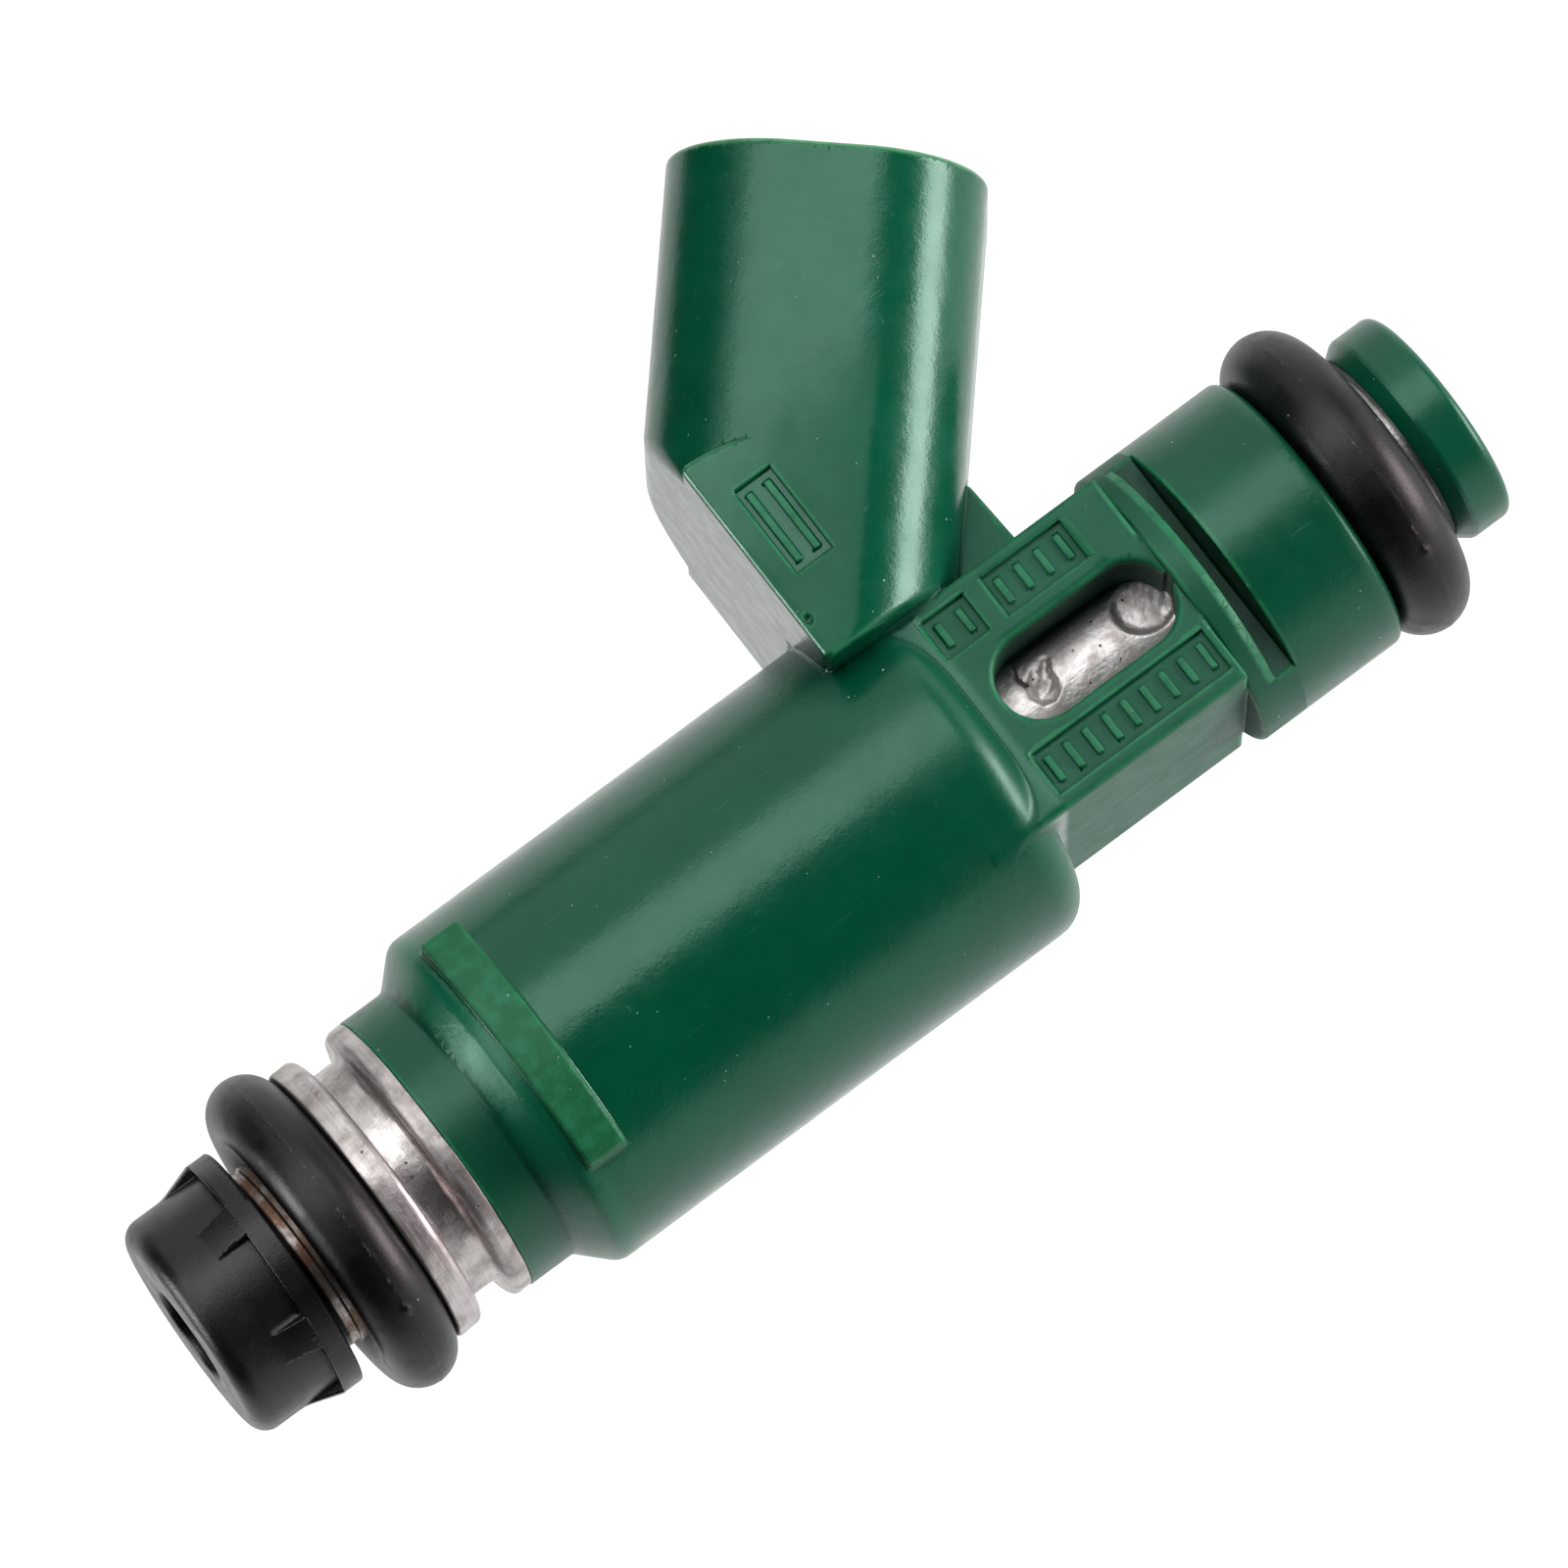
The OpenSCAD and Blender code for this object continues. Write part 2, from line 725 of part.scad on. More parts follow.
// Fine screen inside the frame
module filter_mesh() {
    color([0.6, 0.62, 0.6])
        ring(filter_foot_z + filter_foot_h, filter_head_z, filter_d, filter_d - 2 * filter_wall);
}

module lower_o_ring() {
    color([0.05, 0.05, 0.05]) o_ring(flange_1_z - lower_cord / 2, lower_cord, lower_seat_d);
}

module upper_o_ring() {
    color([0.05, 0.05, 0.05]) o_ring(upper_ring_z, upper_cord, inlet_d);
}

nozzle_cap();
orifice_plate();
valve_seat();
valve_body();
lower_o_ring();
needle();
armature();
lift_stop();
return_spring();
adjusting_tube();
nonmagnetic_ring();
core_tube();
coil_yoke();
yoke_washer();
bobbin();
coil_winding();
lower_coil_seal();
upper_coil_seal();
terminal_left();
terminal_right();
overmould();
upper_o_ring();
inlet_retainer();
filter_frame();
filter_mesh();
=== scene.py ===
"""A fuel injector: the looks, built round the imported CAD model.

The moulded pieces are signed distance functions in millimetres, meshed in fine cells, so that
their edges and inner corners are rounded as a mould rounds them. The turned and the rubber
pieces are lathed outlines. Every piece lies in the CAD model's own frame: +Z runs from the nozzle
tip to the fuel inlet, the connector leans towards -X and the label block faces -Y.
"""

import math

import bpy
import numpy as np
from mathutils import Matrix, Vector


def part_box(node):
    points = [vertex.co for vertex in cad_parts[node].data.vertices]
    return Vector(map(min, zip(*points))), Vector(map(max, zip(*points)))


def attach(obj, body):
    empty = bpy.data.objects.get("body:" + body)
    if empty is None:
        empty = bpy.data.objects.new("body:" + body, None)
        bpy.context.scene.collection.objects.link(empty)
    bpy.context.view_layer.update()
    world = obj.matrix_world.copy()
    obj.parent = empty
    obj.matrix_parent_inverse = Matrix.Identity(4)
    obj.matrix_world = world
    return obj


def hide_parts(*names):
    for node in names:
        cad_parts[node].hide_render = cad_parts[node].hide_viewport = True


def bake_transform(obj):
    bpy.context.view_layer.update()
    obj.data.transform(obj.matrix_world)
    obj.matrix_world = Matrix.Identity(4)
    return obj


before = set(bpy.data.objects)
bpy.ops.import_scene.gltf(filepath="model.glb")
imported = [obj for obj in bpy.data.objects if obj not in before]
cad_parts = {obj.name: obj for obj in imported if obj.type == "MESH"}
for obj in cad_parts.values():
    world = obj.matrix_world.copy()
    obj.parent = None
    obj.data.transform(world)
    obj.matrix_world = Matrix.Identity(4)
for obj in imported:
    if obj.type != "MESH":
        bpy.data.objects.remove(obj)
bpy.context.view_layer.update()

import openvdb
from mathutils import Matrix, Vector

MM = 0.001
BODY = "injector"

# ---------------------------------------------------------------- sizes, from the frame, in mm


def node_box(name):
    """Lowest and highest corner of a CAD node, in millimetres."""
    low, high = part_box(name)
    return Vector(low) / MM, Vector(high) / MM


cap_low, cap_high = node_box("nozzle_cap")
body_low, body_high = node_box("valve_body")
mould_low, mould_high = node_box("overmould")
tube_low, tube_high = node_box("core_tube")
yoke_low, yoke_high = node_box("coil_yoke")
disc_low, disc_high = node_box("inlet_retainer")
lower_low, lower_high = node_box("lower_o_ring")
upper_low, upper_high = node_box("upper_o_ring")

CAP_LEN = cap_high.z
CAP_R = 5.03
CAP_RIM_R = cap_high.x
CAP_RIM_H = 1.0
CAP_TILT, CAP_SLACK, CAP_LIFT = 0.026, 0.15, 0.125  # radians, and play along the axis
CAP_HOLE_R = 2.1
CAP_WALL = body_low.z
RAMP_START = 2.2
RAMP_ARC = math.radians(17)
RAMP_TURN = math.radians(12)

TIP_R, SEAT_R = 4.15, 4.275
FLANGE_R = body_high.x
FLANGE_1_Z = 8.84
GROOVE_Z = 10.08
FLANGE_2_Z = 11.55
GROOVE_R = 5.475
NECK_Z = mould_low.z
SPIGOT_R, SPIGOT_TOP = 5.7, 15.2
GUIDE_R = 4.7
COIL_SEAL_R, COIL_SEAL_H = 4.75, 1.3
BODY_BORE_R, BODY_STEP_R, BODY_STEP_LOW, BODY_STEP_TOP = 3.2, 2.5, 12.0, 14.0
NUB_TURN = math.radians(316)

CONE_Z = 14.54
BARREL_R = mould_high.x
BARREL_TOP = 39.85
BARREL_ROUND = 1.7
BAR_HALF, BAR_SHIFT, BAR_LOW, BAR_HIGH = 5.65, 0.3, 16.35, 18.15
BAR_FRONT, BAR_BEND = 8.1, 11.5

BLOCK_X, BLOCK_Y = 5.13, 6.1
WINDOW_R, WINDOW_LOW, WINDOW_HIGH = 1.85, 41.07, 49.35
PANEL_DEPTH = 0.25
PANELS = [(2.64, 4.51, 40.3, 42.4), (2.64, 4.57, 43.35, 47.35), (-4.45, -2.47, 40.55, 49.15)]
COLLAR_R, COLLAR_Z, COLLAR_TOP = 6.45, 49.5, mould_high.z
SLOT_Z, SLOT_W, SLOT_FLOOR = 50.72, 0.96, 3.45

LEAN = math.radians(48.5)
RIM_X, RIM_Z = 22.3, 49.1
SHELL_U, SHELL_Y, SHELL_R = 6.55, mould_high.y, 5.0
SHELL_WALL, SOCKET_DEPTH = 1.3, 13.0
KEY_H, KEY_HALF, KEY_RECESS = 0.7, 0.8, 1.0
ROOT_Z, ROOT_X, ROOT_R = 36.14, 6.0, 9.0
ROOT_STEP = 0.015
ROOT_PANEL = (8.7, 12.9, 37.3, 39.1)
GATE_X, GATE_Z, GATE_R = 6.9, 36.5, 0.26
WEB_HALF, WEB_X, WEB_TOP = 3.0, 8.6, 46.05
BLADE_Y, BLADE_HALF_W, BLADE_HALF_T = 3.1, 0.8, 0.4

TUBE_R, INLET_R, CORE_R = 3.0, 3.65, 3.55
TUBE_STEP, CORE_TOP = 53.0, 38.0
TUBE_BORE_R, POCKET_R, POCKET_Z, POCKET_TOP, POCKET_SLOPE = 1.7, 2.5, 53.3, 54.5, 0.67
STAKE_X, STAKE_Z, STAKE_R = 0.5, 48.5, 1.42
DISC_STEP_H = 0.6
DISC_R = disc_high.x


# ---------------------------------------------------------------- distance functions


def round_max(a, b, r):
    """Where both solids are, with the edge between them rounded by r."""
    return np.minimum(np.maximum(a, b), -r) + np.hypot(np.maximum(a + r, 0), np.maximum(b + r, 0))


def round_min(a, b, r):
    """Both solids together, with a fillet of radius r between them."""
    return -round_max(-a, -b, r)


def cut(solid, hole, r):
    """The solid without the hole, with the hole's edge rounded by r."""
    return round_max(solid, -hole, r)


def slab(v, low, high):
    """Between two planes."""
    return np.maximum(low - v, v - high)


def round_rect(u, v, half_u, half_v, r):
    """A rectangle with round corners."""
    qu = np.abs(u) - half_u + r
    qv = np.abs(v) - half_v + r
    outside = np.hypot(np.maximum(qu, 0), np.maximum(qv, 0))
    return outside + np.minimum(np.maximum(qu, qv), 0) - r


def box(a, b, c, r):
    """Where three slabs meet, with every edge rounded by r."""
    qa, qb, qc = a + r, b + r, c + r
    outside = np.sqrt(np.maximum(qa, 0) ** 2 + np.maximum(qb, 0) ** 2 + np.maximum(qc, 0) ** 2)
    return outside + np.minimum(np.maximum(np.maximum(qa, qb), qc), 0) - r


def wobble(x, y, z, pitch):
    """A smooth uneven field between about -1 and 1, whose bumps are about pitch apart."""
    k = 2 * math.pi / pitch
    return (
        np.sin(k * (x + 0.31 * z) + 1.3) * np.sin(k * (0.83 * y - 0.4 * x) + 0.7)
        + np.sin(k * (0.9 * z + 0.37 * y) + 2.1) * np.sin(k * (0.61 * x + 0.74 * z) + 4.2)
    ) / 2


def barrel_sdf(x, y, z):
    """Neck, cone, barrel and the flat bar across its front."""
    rad = np.hypot(x, y)
    neck = round_max(rad - FLANGE_R, slab(z, NECK_Z, BARREL_TOP - 5), 0.08)
    cone = (rad - FLANGE_R - (z - CONE_Z)) / math.sqrt(2)
    barrel = round_max(round_max(rad - BARREL_R, cone, 0.25), z - BARREL_TOP, BARREL_ROUND)
    face = np.maximum(np.hypot(x + BAR_SHIFT, y - BAR_BEND + BAR_FRONT) - BAR_BEND, y + 4)
    ends = slab(x + BAR_SHIFT, -BAR_HALF, BAR_HALF)
    bar = box(ends, face, slab(z, BAR_LOW, BAR_HIGH), 0.13)
    return round_min(round_min(neck, barrel, 0.08), bar, 0.12)


def panel_sdf(across, along, depth, panel):
    """A shallow recess with short raised bars in it, on a face where depth is 0 and falls inwards."""
    x0, x1, z0, z1 = panel
    recess = box(slab(across, x0, x1), slab(along, z0, z1), slab(depth, -PANEL_DEPTH, 1), 0.03)
    count = max(2, round((z1 - z0) / 0.95))
    pitch = (z1 - z0) / count
    margin = 0.36
    along_bar = np.abs((along - z0) % pitch - pitch / 2) - 0.16
    bars = box(slab(across, x0 + margin, x1 - margin), along_bar, slab(depth, -1, -0.09), 0.09)
    return np.maximum(recess, -bars)


def block_sdf(x, y, z):
    """Label block and collar, without their window, panels and slots."""
    rad = np.hypot(x, y)
    block = round_max(round_rect(x, y, BLOCK_X, BLOCK_Y, 0.3), slab(z, BARREL_TOP - 3, COLLAR_Z), 0.1)
    collar = round_max(round_max(rad - COLLAR_R, COLLAR_Z - z, 0.25), z - COLLAR_TOP, 0.45)
    slot = np.maximum(slab(z, SLOT_Z, SLOT_Z + SLOT_W), SLOT_FLOOR - np.abs(y))
    collar = cut(collar, slot, 0.1)
    return round_min(block, collar, 0.08)


def connector_axes(x, z):
    """The connector's own axes: u towards the inlet side, w along its axis from 0 at the rim."""
    dx, dz = -x - RIM_X, z - RIM_Z
    return dz * math.sin(LEAN) - dx * math.cos(LEAN), dx * math.sin(LEAN) + dz * math.cos(LEAN)


def connector_sdf(x, y, z):
    """Slanted shell, its square-edged root and the gusset web, all solid."""
    u, w = connector_axes(x, z)
    from_arc = np.hypot(-x - ROOT_X, z - ROOT_Z) - ROOT_R
    sunk = ROOT_STEP * np.clip(0.5 - from_arc / 0.3, 0, 1)
    shell = round_max(round_rect(u, y, SHELL_U, SHELL_Y, SHELL_R), w, 0.3)
    root = box(slab(u, -SHELL_U, SHELL_U - SHELL_R), slab(y, -SHELL_Y, SHELL_Y), slab(w, -40, 0), 0.25)
    solid = np.minimum(shell, round_max(root, from_arc, 0.25)) + sunk
    solid = round_max(solid, ROOT_Z - z, 0.4)
    solid = round_max(solid, x + BLOCK_X, 0.3)
    web_slope = z - WEB_TOP + 0.057 * (-x - BLOCK_X)
    web = box(slab(-x, 0, WEB_X), slab(y, -WEB_HALF, WEB_HALF), np.maximum(38 - z, web_slope), 0.2)
    return round_min(solid, web, 0.15)


def socket_sdf(x, y, z):
    """The space inside the connector, with the key left standing."""
    u, w = connector_axes(x, z)
    wall_u = SHELL_U - SHELL_WALL
    space = round_rect(u, y, wall_u, SHELL_Y - SHELL_WALL, SHELL_R - SHELL_WALL)
    space = round_max(space, -SOCKET_DEPTH - w, 0.3)
    key = box(slab(u, wall_u - KEY_H, wall_u + 2), slab(y, -KEY_HALF, KEY_HALF), w + KEY_RECESS, 0.15)
    return cut(space, key, 0.1)


def inner_sdf(x, y, z):
    """The space that the metal pieces fill inside the moulding."""
    rad = np.hypot(x, y)
    spigot = np.maximum(rad - SPIGOT_R, z - SPIGOT_TOP)
    neck = np.maximum(rad - GUIDE_R, slab(z, NECK_Z, yoke_low.z))
    yoke = np.maximum(rad - yoke_high.x, slab(z, yoke_low.z, yoke_high.z))
    seal = np.maximum(rad - COIL_SEAL_R, slab(z, yoke_high.z, yoke_high.z + COIL_SEAL_H))
    core = np.maximum(rad - CORE_R, slab(z, yoke_high.z, CORE_TOP))
    tube = np.maximum(rad - TUBE_R, slab(z, CORE_TOP, TUBE_STEP))
    inlet = np.maximum(rad - INLET_R, TUBE_STEP - z)
    space = spigot
    for part in (neck, yoke, seal, core, tube, inlet):
        space = np.minimum(space, part)
    return space


def overmould_sdf(x, y, z):
    """The whole green moulding."""
    window = np.hypot(x, z - np.clip(z, WINDOW_LOW + WINDOW_R, WINDOW_HIGH - WINDOW_R)) - WINDOW_R
    window = np.maximum(window, y)
    solid = round_min(barrel_sdf(x, y, z), connector_sdf(x, y, z), 0.12)
    solid = round_min(solid, block_sdf(x, y, z), 0.22)
    solid = cut(solid, window, 0.28)
    for panel in PANELS:
        solid = cut(solid, panel_sdf(-x, z, -y - BLOCK_Y, panel), 0.05)
    solid = cut(solid, panel_sdf(-x, z, -y - SHELL_Y, ROOT_PANEL), 0.05)
    gate = np.sqrt((-x - GATE_X) ** 2 + (y + SHELL_Y + 0.1) ** 2 + (z - GATE_Z) ** 2) - GATE_R
    solid = cut(solid, gate, 0.05)
    solid = cut(solid, socket_sdf(x, y, z), 0.25)
    u, w = connector_axes(x, z)
    blades = np.maximum(np.abs(np.abs(y) - BLADE_Y) - BLADE_HALF_W, np.abs(u) - BLADE_HALF_T)
    solid = np.maximum(solid, -np.maximum(blades, slab(w, -SOCKET_DEPTH - 4, 0)))
    return np.maximum(solid, -inner_sdf(x, y, z))


def cap_sdf(x, y, z):
    """Black cap: cup, rim, six snap ramps and the spray hole; it sits slightly askew on the tube."""
    rad = np.hypot(x, y)
    inside = np.maximum(rad - TIP_R, CAP_WALL - z)
    z = z - CAP_LIFT + CAP_TILT * (0.98 * x + 0.19 * y)
    length = CAP_LEN - CAP_SLACK
    side = rad - CAP_R
    cup = np.maximum(round_max(side, -z, 0.85), z - length)
    rim = round_max(rad - CAP_RIM_R, slab(z, length - CAP_RIM_H, length), 0.12)
    turn = math.radians(60)
    angle = (np.arctan2(y, x) - RAMP_TURN + turn / 2) % turn - turn / 2
    rise = (CAP_RIM_R - CAP_R) / (length - CAP_RIM_H - RAMP_START)
    slope = (rad - CAP_R - rise * (z - RAMP_START)) * 0.97
    ramp = round_max(np.maximum(slope, slab(z, RAMP_START - 1, length - CAP_RIM_H + 0.05)),
                     (np.abs(angle) - RAMP_ARC / 2) * CAP_R, 0.06)
    solid = round_min(np.minimum(cup, rim), ramp, 0.05)
    solid = cut(solid, np.maximum(rad - CAP_HOLE_R, z - CAP_WALL - 1), 0.2)
    return np.maximum(solid, -inside)


def tube_sdf(x, y, z):
    """Core and fuel tube in one, with the two stake marks seen through the window."""
    rad = np.hypot(x, y)
    core = round_max(rad - CORE_R, slab(z, tube_low.z, CORE_TOP), 0.1)
    tube = np.maximum(rad - TUBE_R, slab(z, CORE_TOP - 1, TUBE_STEP))
    inlet = round_max(rad - INLET_R, slab(z, TUBE_STEP, tube_high.z), 0.1)
    head = round_max(rad - tube_high.x, slab(z, tube_high.z - 0.7, tube_high.z), 0.1)
    solid = round_min(np.minimum(np.minimum(core, tube), inlet), head, 0.1)
    uneven = 0.05 * wobble(x, y, z, 0.9) + 0.03 * wobble(z, x, y, 0.43)
    upper = np.hypot(x + STAKE_X, z - STAKE_Z) - STAKE_R - 0.5 * (-y - TUBE_R)
    upper = round_max(upper, 2.6 + y, 0.25)
    lower = round_min(np.hypot(x + 0.95, z - 43.35) - 0.72, np.hypot(x - 0.02, z - 43.15) - 0.68, 0.3)
    lower = round_max(lower - 0.4 * (-y - TUBE_R), 2.72 + y + 0.1 * np.sin(3 * x + 2 * z), 0.2)
    crack = box(slab(x, -1.6, -0.45), slab(-y, 2.0, 4), slab(z + 0.1 * np.sin(5 * x), 42.5, 42.68), 0.04)
    solid = cut(solid, upper + 0.4 * uneven, 0.15)
    solid = cut(solid, lower + uneven, 0.12)
    solid = cut(solid, crack + 0.5 * uneven, 0.05)
    bore = np.maximum(rad - TUBE_BORE_R, slab(z, tube_low.z - 1, POCKET_TOP))
    pocket = rad - POCKET_R + np.maximum(POCKET_TOP - z, 0) * POCKET_SLOPE
    return np.maximum(np.maximum(solid, -bore), -np.maximum(pocket, POCKET_Z - z))


# ---------------------------------------------------------------- meshing

BLOCK = 8
EDGE_STEP = 0.12


def sample(sdf, low, shape, cell):
    """The distance at every cell, worked out only in the blocks near the surface."""
    blocks = shape // BLOCK
    index = np.indices(tuple(blocks), dtype=np.float32)
    middle = [low[i] + (index[i] * BLOCK + (BLOCK - 1) / 2) * cell for i in range(3)]
    coarse = sdf(*middle).astype(np.float32)
    values = coarse.repeat(BLOCK, 0).repeat(BLOCK, 1).repeat(BLOCK, 2)
    values = values.reshape(blocks[0], BLOCK, blocks[1], BLOCK, blocks[2], BLOCK)
    near = np.argwhere(np.abs(coarse) < cell * BLOCK)
    step = np.arange(BLOCK, dtype=np.float32) * cell
    for start in range(0, len(near), 4000):
        chunk = near[start:start + 4000]
        corner = np.asarray(low, np.float32) + chunk.astype(np.float32) * (BLOCK * cell)
        x = corner[:, 0, None, None, None] + step[None, :, None, None]
        y = corner[:, 1, None, None, None] + step[None, None, :, None]
        z = corner[:, 2, None, None, None] + step[None, None, None, :]
        fine = sdf(*np.broadcast_arrays(x, y, z))
        values[chunk[:, 0], :, chunk[:, 1], :, chunk[:, 2], :] = fine
    return values.reshape(tuple(shape))


def slopes(sdf, points, step):
    """The distance function's gradient at each point."""
    result = np.empty_like(points)
    for i in range(3):
        ahead, behind = points.copy(), points.copy()
        ahead[:, i] += step
        behind[:, i] -= step
        result[:, i] = (sdf(*ahead.T) - sdf(*behind.T)) / (2 * step)
    return result


def sharpness(sdf, points, step):
    """How sharply the surface bends, in 1/mm: above 0 on outer edges, below 0 in inner corners."""
    total = -6 * sdf(*points.T)
    for i in range(3):
        for side in (-step, step):
            near = points.copy()
            near[:, i] += side
            total += sdf(*near.T)
    return total / step**2


def mark(mesh, values):
    """Keeps one number for each vertex, for the material to read."""
    edge = mesh.attributes.new("edge", "FLOAT", "POINT")
    edge.data.foreach_set("value", np.asarray(values, np.float32))


def mesh_from_sdf(name, sdf, low, high, cell, adaptivity):
    """A smooth mesh of the surface where sdf is zero, between two corners in millimetres."""
    low = np.asarray(low, float) - 2 * cell
    shape = np.ceil((np.asarray(high, float) - low + 2 * cell) / cell / BLOCK).astype(int) * BLOCK
    band = 3 * cell
    values = np.clip(sample(sdf, low, shape, cell), -band, band)
    grid = openvdb.FloatGrid(band)
    grid.copyFromArray(values)
    points, triangles, quads = grid.convertToPolygons(isovalue=0.0, adaptivity=adaptivity)
    points = low + np.asarray(points, float) * cell
    for _ in range(3):
        slope = slopes(sdf, points, 0.25 * cell)
        size = np.maximum((slope**2).sum(1), 0.25)
        move = -(sdf(*points.T) / size)[:, None] * slope
        points += np.clip(move, -0.5 * cell, 0.5 * cell)
    normals = slopes(sdf, points, 0.2 * cell)
    normals /= np.maximum(np.linalg.norm(normals, axis=1, keepdims=True), 1e-9)
    faces = [np.asarray(triangles), np.asarray(quads)]
    corners = np.concatenate([f.ravel() for f in faces if len(f)])
    sizes = np.concatenate([np.full(len(f), f.shape[1]) for f in faces if len(f)])
    mesh = bpy.data.meshes.new(name)
    mesh.vertices.add(len(points))
    mesh.vertices.foreach_set("co", (points * MM).ravel())
    mesh.loops.add(len(corners))
    mesh.loops.foreach_set("vertex_index", corners)
    mesh.polygons.add(len(sizes))
    mesh.polygons.foreach_set("loop_start", np.concatenate([[0], np.cumsum(sizes)[:-1]]))
    mesh.polygons.foreach_set("loop_total", sizes)
    mesh.update(calc_edges=True)
    mesh.validate()
    mesh.polygons.foreach_set("use_smooth", np.ones(len(mesh.polygons), bool))
    mesh.normals_split_custom_set_from_vertices(normals[:len(mesh.vertices)])
    mark(mesh, sharpness(sdf, points, EDGE_STEP)[:len(mesh.vertices)])
    return mesh


def rounded(corners, steps=6):
    """A closed outline through (r, z, radius) corners, each rounded by its own radius."""
    outline = []
    for i, (x, y, radius) in enumerate(corners):
        here = Vector((x, y))
        back = (Vector(corners[i - 1][:2]) - here).normalized()
        ahead = (Vector(corners[(i + 1) % len(corners)][:2]) - here).normalized()
        if radius <= 0:
            outline.append(here)
            continue
        half = back.angle(ahead) / 2
        middle = here + (back + ahead).normalized() * radius / math.sin(half)
        first = here + back * radius / math.tan(half) - middle
        last = here + ahead * radius / math.tan(half) - middle
        turn = first.angle_signed(last)
        outline += [middle + Matrix.Rotation(-turn * k / steps, 2) @ first for k in range(steps + 1)]
    fine = []
    for here, ahead in zip(outline, outline[1:] + outline[:1]):
        count = max(1, round((ahead - here).length / 0.2))
        fine += [here.lerp(ahead, k / count) for k in range(count)]
    return fine


def lathe(name, outline, turns, shape=None, marks=None):
    """A solid of revolution about Z of a closed outline; shape(r, z, angle) may bend the radius.

    marks(outline point number, angle) gives each vertex's number; without it, corners are marked.
    """
    r = np.array([p[0] for p in outline])
    z = np.array([p[1] for p in outline])
    angle = np.arange(turns) * 2 * math.pi / turns
    rr, aa = np.meshgrid(r, angle)
    zz, _ = np.meshgrid(z, angle)
    if shape:
        rr, zz = shape(rr, zz, aa)
    points = np.stack([rr * np.cos(aa), rr * np.sin(aa), zz], -1).reshape(-1, 3) * MM
    count = len(outline)
    i, k = np.meshgrid(np.arange(turns), np.arange(count), indexing="ij")
    i2, k2 = (i + 1) % turns, (k + 1) % count
    quads = np.stack([i * count + k, i2 * count + k, i2 * count + k2, i * count + k2], -1).reshape(-1, 4)
    area = sum(outline[j - 1][0] * outline[j][1] - outline[j][0] * outline[j - 1][1] for j in range(count))
    if area < 0:
        quads = quads[:, ::-1]
    mesh = bpy.data.meshes.new(name)
    mesh.from_pydata(points.tolist(), [], quads.tolist())
    mesh.polygons.foreach_set("use_smooth", np.ones(len(mesh.polygons), bool))
    mesh.update()
    if marks:
        mark(mesh, marks(k, i * 2 * math.pi / turns).ravel())
    else:
        way = np.roll(np.stack([r, z], -1), -1, 0) - np.stack([r, z], -1)
        turn = np.cross(np.roll(way, 1, 0), way) * np.sign(area)
        size = np.linalg.norm(way, axis=1)
        bend = turn / np.maximum(size * np.roll(size, 1) * np.minimum(size, np.roll(size, 1)), 1e-6)
        mark(mesh, np.tile(np.clip(bend, -9, 9), turns))
    return mesh


def piece(name, mesh, material, node):
    """Shows a mesh in place of a CAD node, on that node's body, in the given material."""
    obj = bpy.data.objects.new(name, mesh)
    bpy.context.scene.collection.objects.link(obj)
    mesh.materials.append(material)
    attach(obj, BODY)
    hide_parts(node)
    return obj


# ---------------------------------------------------------------- materials


